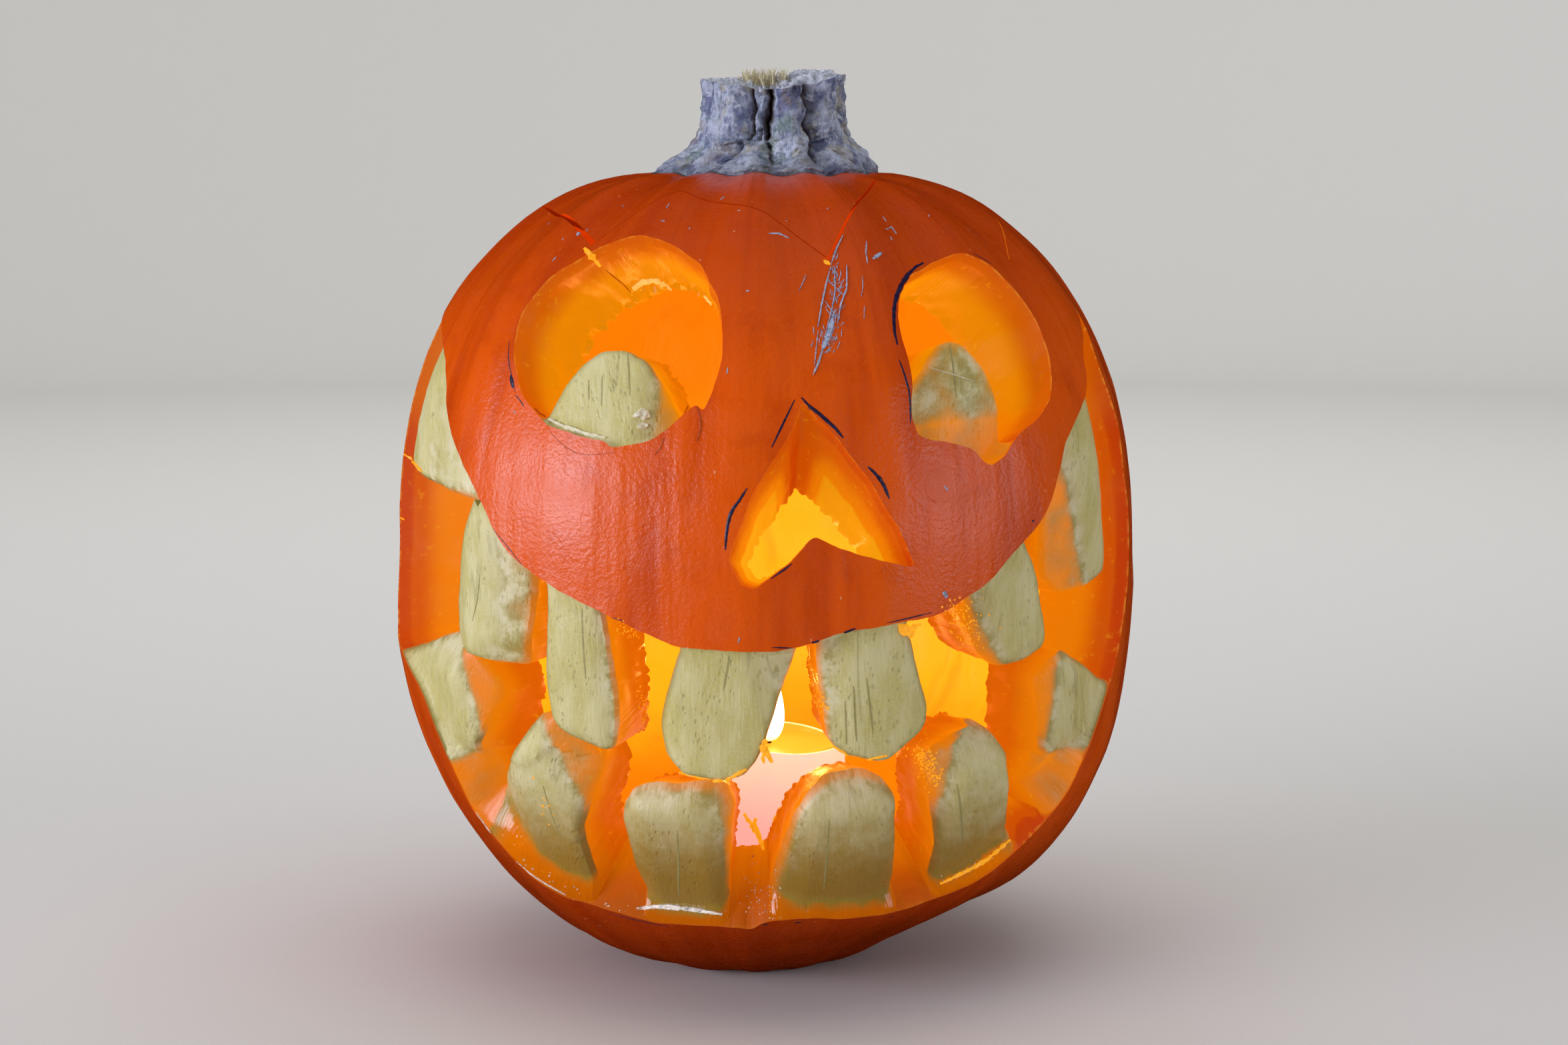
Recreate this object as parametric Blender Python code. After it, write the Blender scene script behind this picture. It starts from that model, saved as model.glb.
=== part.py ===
"""Carved pumpkin lantern: a hollow pumpkin with its lid, and a pillar candle with its wick.

Metres, +Z up, the face looks along -Y, and the origin is the middle of the base. Places on
the pumpkin are given as on a globe about CORE, in degrees: longitude from the front, growing
towards +X, and latitude up from the equator.
"""

import math

import bpy
from mathutils import Vector
from mathutils.geometry import delaunay_2d_cdt

# Body: the pumpkin's outer form
BODY_RADIUS = 0.1193
CORE_HEIGHT = 0.1252
RISE_ABOVE_CORE = 0.1337
DROP_BELOW_CORE = 0.1294
UPPER_SQUARENESS = 2.46
LOWER_SQUARENESS = 2.17
DIMPLE_DEPTH = 0.011
DIMPLE_REACH = 17.0
RIBS = 15
RIB_PHASE = 40.0
RIB_DEPTH = 0.0008
TOP_RIB_DEPTH = 0.0012
TOP_RIBS_AT, TOP_RIBS_REACH = 60.0, 22.0
RIB_FADE = 0.35
FLANK_SWELL, FLANK_AT, FLANK_REACH = 0.015, -32.0, 20.0
LOW_FLANK_LOSS, LOW_FLANK_AT, LOW_FLANK_REACH = 0.030, -62.0, 12.0
LOW_TAPER, LOW_TAPER_REACH = 0.020, 14.0

# Cavity and cuts
WALL = 0.028
CAVITY_FLOOR = 0.032
PEELED_DEPTH = 0.0035
SEAM_GAP = 0.35

# How the cuts slant on their way in, in degrees
SEAM_SLANT = 8.5
TIP_DIP, TIP_DIP_AT, TIP_DIP_REACH = 5.0, -27.0, 11.0
EYE_RISE, EYE_FOOT, EYE_RISE_SPAN = 5.5, 22.0, 18.0
LEFT_EYE_SPAN = (-49.0, -1.0)
RIGHT_EYE_SPAN = (20.0, 56.0)
NOSE_SPAN = ((-8.0, 24.0), (4.0, 30.0))
NOSE_MIDDLE = (7.0, 8.0)
NOSE_SHRINK = (0.85, 0.68)

# Stem
STEM_TOP = 0.2855
STEM_BASE_LATITUDE = 74.0
STEM_LOBES = 5
STEM_LOBE_DEPTH = 0.09
STEM_LOBE_PHASE = 60.0
STEM_SIDES = 24
STEM_RINGS = ((0.0, 1.0), (0.12, 0.86), (0.34, 0.72), (0.62, 0.65), (0.9, 0.665), (1.0, 0.64))
STEM_LEAN = 0.0030

# Candle
CANDLE_RADIUS = 0.025
CANDLE_TOP = 0.0715
CANDLE_CENTRE_X = 0.0016
CANDLE_RIM = 0.003
CANDLE_EDGE = 0.0012
CANDLE_SIDES = 40
POOL_DEPTH = 0.004
WICK_RADIUS = 0.0011
WICK_HEIGHT = 0.011
WICK_SIDES = 8
CLEARANCE = 0.0003

# Fineness of the faceted solids
OUTLINE_STEP = 3.6
SKIN_STEP = 7.5
CAVITY_STEP = 10.5
BASE_LATITUDE = -80.0
FLOOR_LATITUDE = -72.0
BODY_TOP = 69.0
CAVITY_TOP = 76.0
LID_FOOT, LID_TOP = 56.0, 82.0
FEWEST_AROUND = 16
SPARE = 0.62
BACK = 180.0
SHARP_ANGLE = 35.0

# The lid's cut: straight knife strokes from corner to corner, from the back round to the back
SEAM = (
    (-180, 58.2), (-160, 51), (-129, 62), (-98, 50), (-79, 58.5), (-37.5, 52.3), (-31, 58),
    (-23, 63.5), (-7, 60), (1, 58), (13, 49.8), (42, 67.5), (59, 49.3), (84, 60), (105, 51),
    (128, 62), (150, 50), (175, 60), (180, 58.2),
)

# Openings: corners of each outline
MASK_EDGE = (
    (76, 41.5), (68.5, 36.5), (64, 32.5), (61, 27), (50.5, 22.5), (44, 13.5), (35, 6),
    (25.5, 1.2), (11, -0.5), (3, -3), (-8, -2.9), (-23, 1.7), (-38, 8), (-48.5, 20.5),
    (-59.6, 30.4), (-65, 35.3), (-84, 42.5),
)
LIP_EDGE = (
    (-89, 32), (-91, 2), (-83, -8), (-72, -11.5), (-64.5, -17), (-61.5, -24), (-62, -31),
    (-51, -43.5), (-42, -47), (-19, -49), (-2.5, -49.4), (1, -47.2), (31, -47.6), (46, -41.5),
    (59, -28), (62, -17), (73, 4), (74.3, 11), (71.8, 16.5), (74, 24), (70.5, 31),
)
LEFT_EYE = (
    (-45, 38), (-44, 47.5), (-36, 52.6), (-24, 53.5), (-13, 51.5), (-6, 42), (-5.5, 34),
    (-10.5, 28.5), (-21.5, 23.5), (-37.5, 27.5),
)
RIGHT_EYE = (
    (22.9, 25), (22.3, 41), (29, 49.5), (43, 50), (53, 45.5), (55, 38), (50, 28),
    (38.8, 24.2), (35, 20.2), (31.5, 23.6),
)
NOSE = ((5.4, 28.8), (-3.6, 14), (-5, 7.2), (-0.6, 5.6), (7.5, 12.8), (14, 9.8), (21.5, 7.8))

# Teeth and pupils: the wall left standing in an opening, each drawn on past its root
TEETH = (
    ((-85, 48), (-84.5, 22), (-77, 18.5), (-57, 15.3), (-44, 17.5), (-50, 40)),
    ((-46, 20), (-54.2, 2), (-54, -4.5), (-48, -8.3), (-39, -8.6), (-36, 14)),
    ((-33, 10), (-33.5, -14), (-32, -18), (-25, -19.8), (-22, -19), (-23.5, 6)),
    ((-10, 2), (-16, -16.5), (-15.5, -21), (-12, -23), (-3.5, -23), (1.8, -15), (6.3, 2)),
    ((7.2, 2), (10.4, -18.5), (13.2, -19.6), (18.5, -19.9), (25.2, -14.5), (25, -11), (20.5, 5)),
    ((29, 7), (34, -7.6), (41, -8.2), (47.5, -6), (47.2, 2), (40, 14)),
    ((52, 30), (51, 4), (55, 0.8), (64, 1.2), (69, 6), (68.5, 24), (66, 38)),
    ((-78, -10.5), (-68, -8), (-58, -5), (-53, -7), (-54, -17), (-64, -38), (-84, -30)),
    ((-35, -14.5), (-40.5, -17.5), (-45, -24.5), (-66, -36), (-50, -52), (-33.5, -27)),
    ((-23.5, -27.3), (-4.5, -26.3), (-6.5, -34), (-8.5, -54), (-26.5, -54), (-25, -38)),
    ((7, -26), (20.5, -24.3), (23.3, -32), (29.5, -54), (2, -54), (4.5, -38)),
    ((30, -20.8), (38, -17.6), (42, -20.5), (48, -34), (54, -42), (36, -50), (29, -31)),
    ((50, -11), (54, -7), (60.5, -7), (70, -14), (60, -38), (52, -30)),
)
LEFT_PUPIL = ((-35, 28), (-30.5, 33.8), (-26, 38), (-20.5, 38), (-16, 34.5), (-11.5, 28.5),
              (-13, 19), (-38, 19))
RIGHT_PUPIL = ((19, 32), (24.2, 32.2), (33, 39.8), (36.5, 39.3), (42, 29.5), (39.7, 24),
               (41, 17), (19, 17))

# How far each outline's corners are rounded, from 0 to 1
MOUTH_ROUNDING = 0.8
TOOTH_ROUNDING = 0.8
LEFT_EYE_ROUNDING, LEFT_PUPIL_ROUNDING = 1.0, 0.9
RIGHT_EYE_ROUNDING, RIGHT_PUPIL_ROUNDING = 0.8, 0.7
NOSE_ROUNDING = 0.25

COLOURS = {
    "shell": ((0.60, 0.09, 0.008), 0.45),
    "lid": ((0.58, 0.08, 0.006), 0.45),
    "candle": ((0.86, 0.62, 0.50), 0.40),
    "wick": ((0.05, 0.04, 0.03), 0.90),
}


def hump(value, middle, reach):
    return math.exp(-(((value - middle) / reach) ** 2))


def skin_radius(lon, lat):
    """Distance from the core to the skin: a squared oval, ribbed, dimpled and a little lopsided."""
    up, out = math.sin(math.radians(lat)), math.cos(math.radians(lat))
    height, power = (
        (RISE_ABOVE_CORE, UPPER_SQUARENESS) if up >= 0 else (DROP_BELOW_CORE, LOWER_SQUARENESS)
    )
    oval = ((abs(up) / height) ** power + (out / BODY_RADIUS) ** power) ** (-1 / power)
    dimple = DIMPLE_DEPTH * hump(lat, 90, DIMPLE_REACH)
    top_ribs = TOP_RIB_DEPTH * hump(lat, TOP_RIBS_AT, TOP_RIBS_REACH)
    ribs = (RIB_DEPTH + top_ribs) * min(1.0, out / RIB_FADE)
    ribbing = ribs * (1 - math.cos(math.radians(RIBS * lon + RIB_PHASE))) / 2
    swell = FLANK_SWELL * hump(lat, FLANK_AT, FLANK_REACH)
    loss = LOW_FLANK_LOSS * hump(lat, LOW_FLANK_AT, LOW_FLANK_REACH)
    flank = math.sin(math.radians(lon)) * (swell - loss)
    taper = LOW_TAPER * hump(lat, LOW_FLANK_AT, LOW_TAPER_REACH)
    return (oval - dimple - ribbing) * (1 + flank - taper)


def direction(lon, lat):
    a, b = math.radians(lon), math.radians(lat)
    return Vector((math.cos(b) * math.sin(a), -math.cos(b) * math.cos(a), math.sin(b)))


def globe_point(lon, lat, radius, floor):
    """The point at this radius from the core, held up where the base or the cavity is flat."""
    point = direction(lon, lat) * radius
    return Vector((point.x, point.y, max(CORE_HEIGHT + point.z, floor)))


def skin_point(lon, lat, depth=0.0):
    return globe_point(lon, lat, skin_radius(lon, lat) - depth, 0.0)


def cavity_point(lon, lat):
    return globe_point(lon, lat, skin_radius(lon, lat) - WALL, CAVITY_FLOOR)


def inward(lon, lat):
    """Where a cut that enters the skin at this place leaves it in the cavity."""
    if lat > seam_latitude(lon) - 0.01:
        return lon, lat + SEAM_SLANT
    if lat > EYE_FOOT and (within(lon, LEFT_EYE_SPAN) or within(lon, RIGHT_EYE_SPAN)):
        return lon, lat + EYE_RISE * min(1.0, (lat - EYE_FOOT) / EYE_RISE_SPAN)
    if within(lon, NOSE_SPAN[0]) and within(lat, NOSE_SPAN[1]):
        place = zip((lon, lat), NOSE_MIDDLE, NOSE_SHRINK)
        return tuple(centre + (value - centre) * shrink for value, centre, shrink in place)
    return lon, lat - TIP_DIP * hump(lat, TIP_DIP_AT, TIP_DIP_REACH)


def within(value, span):
    return span[0] < value < span[1]


def spacing(a, b):
    """Distance in degrees over the globe between two nearby places."""
    across = (a[0] - b[0]) * math.cos(math.radians((a[1] + b[1]) / 2))
    return math.hypot(across, a[1] - b[1])


def between(a, b, share):
    return tuple(p + (q - p) * share for p, q in zip(a, b))


def stroke(a, b, step):
    """Places along a straight knife stroke over the globe, from a up to but without b."""
    ends = [direction(*place) for place in (a, b)]
    count = max(1, math.ceil(spacing(a, b) / step))
    places = [a]
    for i in range(1, count):
        way = ends[0].slerp(ends[1], i / count)
        places.append((math.degrees(math.atan2(way.x, -way.y)), math.degrees(math.asin(way.z))))
    return places


def seam_line(step):
    strokes = [stroke(a, b, step) for a, b in zip(SEAM, SEAM[1:])]
    return [place for line in strokes for place in line] + [SEAM[-1]]


SEAM_LINE = seam_line(OUTLINE_STEP)


def seam_latitude(lon):
    """Latitude of the lid's cut at this longitude."""
    for a, b in zip(SEAM_LINE, SEAM_LINE[1:]):
        if a[0] <= lon <= b[0]:
            return between(a, b, (lon - a[0]) / max(b[0] - a[0], 1e-9))[1]
    return SEAM_LINE[0][1]


def outline(corners, rounding, step):
    """A closed outline through the corners, each rounded off over its share of the sides."""
    places = []
    for i, corner in enumerate(corners):
        start = between(corner, corners[i - 1], rounding / 2)
        end = between(corner, corners[(i + 1) % len(corners)], rounding / 2)
        turns = max(1, math.ceil((spacing(start, corner) + spacing(corner, end)) / step))
        for turn in range(turns + 1):
            t = turn / turns
            places.append(between(between(start, corner, t), between(corner, end, t), t))
        after = corners[(i + 1) % len(corners)]
        ahead = between(after, corner, rounding / 2)
        runs = math.ceil(spacing(end, ahead) / step)
        places += [between(end, ahead, run / runs) for run in range(1, runs)]
    closest = step / 3
    kept = []
    for place in places:
        if not kept or spacing(place, kept[-1]) > closest:
            kept.append(place)
    while spacing(kept[0], kept[-1]) < closest:
        kept.pop()
    return kept


def inside(place, ring):
    """Whether a place lies inside a closed ring of places."""
    hit = False
    for (ax, ay), (bx, by) in zip(ring, ring[1:] + ring[:1]):
        if (ay > place[1]) != (by > place[1]):
            hit ^= place[0] < ax + (place[1] - ay) / (by - ay) * (bx - ax)
    return hit


def mercator(lon, lat):
    """The flat map in which the body is triangulated: it keeps angles."""
    return lon, math.degrees(math.asinh(math.tan(math.radians(lat))))


def from_mercator(u, v):
    return u, math.degrees(math.atan(math.sinh(math.radians(v))))


def polar(lon, lat):
    """The flat map in which the lid is triangulated, with the pole in its middle."""
    a = math.radians(lon)
    return (90 - lat) * math.sin(a), -(90 - lat) * math.cos(a)


def from_polar(x, y):
    return math.degrees(math.atan2(x, -y)), 90 - math.hypot(x, y)


class Solid:
    """Corner points, each under a name of its own, and the faces between them."""

    def __init__(self):
        self.index = {}
        self.points = []
        self.faces = []

    def corner(self, key, point):
        if key not in self.index:
            self.index[key] = len(self.points)
            self.points.append(point)

    def face(self, *keys):
        self.faces.append([self.index[key] for key in keys])

    def wall(self, a, b, layers):
        """Faces from layer to layer beside the edge that runs from a to b."""
        for upper, lower in zip(layers, layers[1:]):
            self.face((b, upper), (a, upper), (a, lower), (b, lower))

    def object(self, name):
        mesh = bpy.data.meshes.new(name)
        mesh.from_pydata(self.points, [], self.faces)
        mesh.validate()
        return add_object(name, mesh)


def add_object(name, mesh):
    colour, roughness = COLOURS[name]
    material = bpy.data.materials.new(name)
    material.use_nodes = True
    shader = material.node_tree.nodes["Principled BSDF"]
    shader.inputs["Base Color"].default_value = (*colour, 1)
    shader.inputs["Roughness"].default_value = roughness
    shader.inputs["Metallic"].default_value = 0.0
    mesh.materials.append(material)
    mesh.shade_smooth()
    mesh.set_sharp_from_angle(angle=math.radians(SHARP_ANGLE))
    piece = bpy.data.objects.new(name, mesh)
    bpy.context.scene.collection.objects.link(piece)
    return piece


def fill_places(step, low, high, taken):
    """Rows of places between two latitudes, apart from those near a place that is taken."""
    rows = round((high - low) / step)
    places = []
    for row in range(rows + 1):
        lat = low + (high - low) * row / rows
        count = max(FEWEST_AROUND, round(360 * math.cos(math.radians(lat)) / step))
        width = 360 / count
        shift = 0.5 * (row % 2)
        for i in range(count):
            lon = (i + shift) * width - BACK
            if BACK - abs(lon) > width * 0.4:
                places.append((lon, lat))
    return [p for p in places if all(spacing(p, t) > step * SPARE for t in taken)]


def back_places(step, low, high):
    """Places down the back, where the flat map is slit open, clear of its upper end."""
    rows = round((high - low) / step)
    return [(BACK, low + (high - low) * row / rows) for row in range(rows)]


def in_plane(places, to_map):
    return [Vector(to_map(*place)) for place in places]


def ring_edges(first, count):
    return [(first + i, first + (i + 1) % count) for i in range(count)]


def openings():
    """Each opening's outline with the outlines of what is left standing in it."""
    def cut(corners, rounding):
        return outline(corners, rounding, OUTLINE_STEP)

    return (
        (cut(MASK_EDGE + LIP_EDGE, MOUTH_ROUNDING), [cut(tooth, TOOTH_ROUNDING) for tooth in TEETH]),
        (cut(LEFT_EYE, LEFT_EYE_ROUNDING), [cut(LEFT_PUPIL, LEFT_PUPIL_ROUNDING)]),
        (cut(RIGHT_EYE, RIGHT_EYE_ROUNDING), [cut(RIGHT_PUPIL, RIGHT_PUPIL_ROUNDING)]),
        (cut(NOSE, NOSE_ROUNDING), []),
    )


def body_map(cuts):
    """The flat map of the body's skin, cut along the seam and every outline."""
    places, edges = [], []
    for opening, tongues in cuts:
        edges += ring_edges(len(places), len(opening))
        places += opening
        for tongue in tongues:
            first = len(places)
            places += tongue
            edges += [
                (a, b)
                for a, b in ring_edges(first, len(tongue))
                if inside(places[a], opening) or inside(places[b], opening)
            ]
    used = {i for edge in edges for i in edge}
    seam = len(places)
    places += SEAM_LINE
    edges += [(seam + i, seam + i + 1) for i in range(len(SEAM_LINE) - 1)]
    taken = [p for i, p in enumerate(places) if i in used or i >= seam]
    renumber = {}
    kept = []
    for i, place in enumerate(places):
        if i in used or i >= seam:
            renumber[i] = len(kept)
            kept.append(place)
    edges = [(renumber[a], renumber[b]) for a, b in edges]
    kept += fill_places(SKIN_STEP, BASE_LATITUDE, BODY_TOP, taken)
    for lon, lat in back_places(SKIN_STEP, BASE_LATITUDE, SEAM[0][1]):
        kept += [(-lon, lat), (lon, lat)]
    points, _, faces, *_ = delaunay_2d_cdt(in_plane(kept, mercator), edges, [], 0, 0.05)
    return [from_mercator(*point) for point in points], faces


def middle(face, places):
    return tuple(sum(places[i][k] for i in face) / 3 for k in (0, 1))


def region(place, cuts):
    """What the flat map holds here: 'skin', 'peeled', a 'hole', or nothing above the seam."""
    if place[1] > seam_latitude(place[0]):
        return "lid"
    for opening, tongues in cuts:
        if inside(place, opening):
            return "peeled" if any(inside(place, tongue) for tongue in tongues) else "hole"
    return "skin"


def twins(places):
    """For each place, its number, or that of its twin on the other side of the back slit."""
    left = {round(p[1], 3): i for i, p in enumerate(places) if abs(p[0] + BACK) < 1e-4}
    return [
        left.get(round(p[1], 3), i) if abs(p[0] - BACK) < 1e-4 else i
        for i, p in enumerate(places)
    ]


def crossings_above(place, segments):
    """How many of the segments lie straight above a place."""
    count = 0
    for (ax, ay), (bx, by) in segments:
        if (ax > place[0]) != (bx > place[0]):
            count += place[1] < ay + (place[0] - ax) / (bx - ax) * (by - ay)
    return count


SKIN, PEELED, INNER = 0, 1, 2


def make_shell():
    """The pumpkin's body: skin, peeled tooth fronts, the walls of every cut, and the cavity."""
    cuts = openings()
    places, faces = body_map(cuts)
    twin = twins(places)
    kinds = [region(middle(face, places), cuts) for face in faces]
    solid = Solid()
    layer_of = {"skin": SKIN, "peeled": PEELED}
    neighbours = {}
    for face, kind in zip(faces, kinds):
        for a, b in zip(face, face[1:] + face[:1]):
            neighbours[a, b] = kind
        if kind in layer_of:
            layer = layer_of[kind]
            for i in face:
                depth = PEELED_DEPTH if layer == PEELED else 0.0
                solid.corner((twin[i], layer), skin_point(*places[twin[i]], depth))
            solid.face(*[(twin[i], layer) for i in face])
    rim = []
    for (a, b), kind in neighbours.items():
        other = neighbours.get((b, a))
        if kind not in layer_of or other is None or other == kind:
            continue
        if {kind, other} == {"skin", "peeled"}:
            if kind == "skin":
                solid.wall(twin[a], twin[b], (SKIN, PEELED))
            continue
        rim.append((a, b))
        for i in (a, b):
            solid.corner((twin[i], PEELED), skin_point(*places[twin[i]], PEELED_DEPTH))
            solid.corner((twin[i], INNER), cavity_point(*inward(*places[twin[i]])))
        layers = (SKIN, PEELED, INNER) if kind == "skin" else (PEELED, INNER)
        solid.wall(twin[a], twin[b], layers)
    line_cavity(solid, places, rim, twin)
    base = sorted(
        (i for i, p in enumerate(places) if abs(p[1] - BASE_LATITUDE) < 1e-3 and twin[i] == i),
        key=lambda i: -places[i][0],
    )
    solid.face(*[(i, SKIN) for i in base])
    return solid.object("shell")


def line_cavity(solid, places, rim, twin):
    """The cavity's surface, between the inner ends of all the cuts."""
    numbers = sorted({i for edge in rim for i in edge})
    at = {number: k for k, number in enumerate(numbers)}
    inner = [inward(*places[number]) for number in numbers]
    edges = [(at[a], at[b]) for a, b in rim]
    count = len(inner)
    high = inward(*SEAM[0])[1]
    inner += fill_places(CAVITY_STEP, FLOOR_LATITUDE, CAVITY_TOP, inner[:count])
    for lon, lat in back_places(CAVITY_STEP, FLOOR_LATITUDE, high):
        inner += [(-lon, lat), (lon, lat)]
    flat = in_plane(inner, mercator)
    points, _, faces, origins, *_ = delaunay_2d_cdt(flat, edges, [], 0, 1e-5)
    cavity = [from_mercator(*point) for point in points]
    mirrored = twins(cavity)
    segments = [(inner[a], inner[b]) for a, b in edges]
    names = {}
    for i in range(len(cavity)):
        rims = [numbers[k] for k in origins[mirrored[i]] if k < count]
        names[i] = (twin[rims[0]], INNER) if rims else ("cavity", mirrored[i])
    for face in faces:
        if crossings_above(middle(face, cavity), segments) % 2 == 0:
            continue
        for i in face:
            solid.corner(names[i], cavity_point(*cavity[i]))
        solid.face(*[names[i] for i in reversed(face)])
    floor = sorted(
        (
            i
            for i, p in enumerate(cavity)
            if abs(p[1] - FLOOR_LATITUDE) < 1e-3 and mirrored[i] == i
        ),
        key=lambda i: cavity[i][0],
    )
    solid.face(*[names[i] for i in floor])


def stem_point(lon, up, size):
    """A point on the stem at this share of its height, lobed like the ribs that feed it."""
    base = skin_point(lon, STEM_BASE_LATITUDE)
    lobe = math.cos(math.radians(STEM_LOBES * lon + STEM_LOBE_PHASE))
    lobes = 1 + STEM_LOBE_DEPTH * math.sqrt(up) * lobe
    across = Vector((base.x, base.y, 0)) * size * lobes
    lean = Vector((STEM_LEAN * up, 0, base.z + (STEM_TOP - base.z) * up))
    return across + lean


def make_lid():
    """The lid, cut out along the seam with a slant that keeps it from falling in, and its stem."""
    seam = [(lon, lat + SEAM_GAP) for lon, lat in SEAM_LINE[:-1]]
    around = STEM_SIDES
    stem = [(360 * i / around - BACK, STEM_BASE_LATITUDE) for i in range(around)]
    solid = Solid()
    for i, (lon, lat) in enumerate(seam):
        solid.corner(("seam", i, SKIN), skin_point(lon, lat))
        solid.corner(("seam", i, INNER), cavity_point(lon, lat + SEAM_SLANT))
    count = len(seam)
    for a, b in ring_edges(0, count):
        solid.face(("seam", a, SKIN), ("seam", a, INNER), ("seam", b, INNER), ("seam", b, SKIN))
    for layer, ring, slant in ((SKIN, stem, 0.0), (INNER, [], SEAM_SLANT)):
        rim = [(lon, lat + slant) for lon, lat in seam]
        fill = fill_places(SKIN_STEP, LID_FOOT + slant, LID_TOP, rim + ring)
        fill = [p for p in fill if p[1] < STEM_BASE_LATITUDE or layer == INNER]
        edges = ring_edges(0, count) + (ring_edges(count, around) if ring else [])
        flat = in_plane(rim + ring + fill, polar)
        points, _, faces, origins, *_ = delaunay_2d_cdt(flat, edges, [], 0, 1e-5)
        place_of = [from_polar(*point) for point in points]
        rim_flat = [tuple(p) for p in in_plane(rim, polar)]
        ring_flat = [tuple(p) for p in in_plane(ring, polar)]
        for face in faces:
            centre = middle(face, [tuple(point) for point in points])
            if not inside(centre, rim_flat) or (ring and inside(centre, ring_flat)):
                continue
            keys = []
            for i in face:
                number = origins[i][0]
                if number < count:
                    keys.append(("seam", number, layer))
                elif ring and number < count + around:
                    keys.append(("stem", number - count, 0))
                else:
                    keys.append((layer, number))
                surface = skin_point if layer == SKIN else cavity_point
                solid.corner(keys[-1], surface(*place_of[i]))
            solid.face(*(keys if layer == SKIN else reversed(keys)))
    for level, (up, size) in enumerate(STEM_RINGS):
        for i, (lon, _) in enumerate(stem):
            solid.corner(("stem", i, level), stem_point(lon, up, size))
    for level in range(len(STEM_RINGS) - 1):
        for a, b in ring_edges(0, around):
            solid.face(
                ("stem", a, level), ("stem", b, level), ("stem", b, level + 1), ("stem", a, level + 1)
            )
    top = len(STEM_RINGS) - 1
    solid.face(*[("stem", i, top) for i in range(around)])
    return solid.object("lid")


def turned(name, profile, around):
    """A solid turned about the candle's axis from (radius, height) points, bottom first."""
    x = CANDLE_CENTRE_X
    solid = Solid()
    solid.corner("foot", Vector((x, 0, profile[0][1])))
    solid.corner("head", Vector((x, 0, profile[-1][1])))
    rings = profile[1:-1]
    for level, (radius, height) in enumerate(rings):
        for i in range(around):
            a = math.tau * i / around
            point = Vector((x + radius * math.sin(a), -radius * math.cos(a), height))
            solid.corner((i, level), point)
    for a, b in ring_edges(0, around):
        solid.face("foot", (b, 0), (a, 0))
        solid.face("head", (a, len(rings) - 1), (b, len(rings) - 1))
        for level in range(len(rings) - 1):
            solid.face((a, level), (b, level), (b, level + 1), (a, level + 1))
    return solid.object(name)


def make_candle():
    """A short pillar candle with a rounded rim and a shallow pool of melted wax."""
    foot = CAVITY_FLOOR + CLEARANCE
    pool = CANDLE_TOP - POOL_DEPTH
    profile = (
        (0, foot),
        (CANDLE_RADIUS - CANDLE_EDGE, foot),
        (CANDLE_RADIUS, foot + CANDLE_EDGE),
        (CANDLE_RADIUS, CANDLE_TOP - CANDLE_EDGE),
        (CANDLE_RADIUS - CANDLE_EDGE, CANDLE_TOP),
        (CANDLE_RADIUS - CANDLE_RIM, CANDLE_TOP),
        (CANDLE_RADIUS - 2 * CANDLE_RIM, pool),
        (0, pool),
    )
    return turned("candle", profile, CANDLE_SIDES)


def make_wick():
    foot = CANDLE_TOP - POOL_DEPTH + CLEARANCE
    head = foot + WICK_HEIGHT
    profile = ((0, foot), (WICK_RADIUS, foot), (WICK_RADIUS, head), (0, head))
    return turned("wick", profile, WICK_SIDES)


def main():
    for piece in list(bpy.data.objects):
        bpy.data.objects.remove(piece)
    for make in (make_shell, make_lid, make_candle, make_wick):
        make()


main()
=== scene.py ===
"""Carved pumpkin lantern: its looks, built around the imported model.

Metres, +Z up, the face looks along -Y. Places on the pumpkin are given as on a globe about its
core, in degrees: longitude from the front, growing towards +X, and latitude up from the equator.
"""

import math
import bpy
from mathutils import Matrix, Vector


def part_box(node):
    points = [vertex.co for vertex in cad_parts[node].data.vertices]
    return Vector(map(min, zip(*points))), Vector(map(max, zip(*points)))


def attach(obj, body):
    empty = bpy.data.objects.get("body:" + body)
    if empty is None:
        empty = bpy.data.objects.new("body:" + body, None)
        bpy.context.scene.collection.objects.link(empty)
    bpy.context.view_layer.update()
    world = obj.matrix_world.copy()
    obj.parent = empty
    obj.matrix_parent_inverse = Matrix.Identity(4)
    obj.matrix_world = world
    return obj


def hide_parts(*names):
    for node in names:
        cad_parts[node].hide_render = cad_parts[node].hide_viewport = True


bl_info = {
    "name": "Carved Pumpkin Lantern",
    "version": (1, 0, 0),
    "blender": (4, 5, 0),
    "location": "View3D > Sidebar > Lantern",
    "description": "Builds a carved pumpkin with its lid, candle and flame, and the stage for it",
    "category": "Add Mesh",
}

import bpy
import numpy as np
from mathutils import Vector, kdtree, noise
from mathutils.bvhtree import BVHTree
from mathutils.geometry import delaunay_2d_cdt

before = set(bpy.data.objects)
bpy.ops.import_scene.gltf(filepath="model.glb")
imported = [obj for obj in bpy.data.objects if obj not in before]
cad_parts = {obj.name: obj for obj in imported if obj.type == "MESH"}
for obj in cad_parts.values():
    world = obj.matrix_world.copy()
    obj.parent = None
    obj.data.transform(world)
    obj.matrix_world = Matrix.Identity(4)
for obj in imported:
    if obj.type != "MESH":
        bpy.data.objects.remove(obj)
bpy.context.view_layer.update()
CANDLE_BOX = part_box("candle")
WICK_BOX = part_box("wick")
LID_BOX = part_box("lid")
CANDLE_WIDTH = CANDLE_BOX[1].x - CANDLE_BOX[0].x

# ---------------------------------------------------------------- the carving, in degrees

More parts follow.
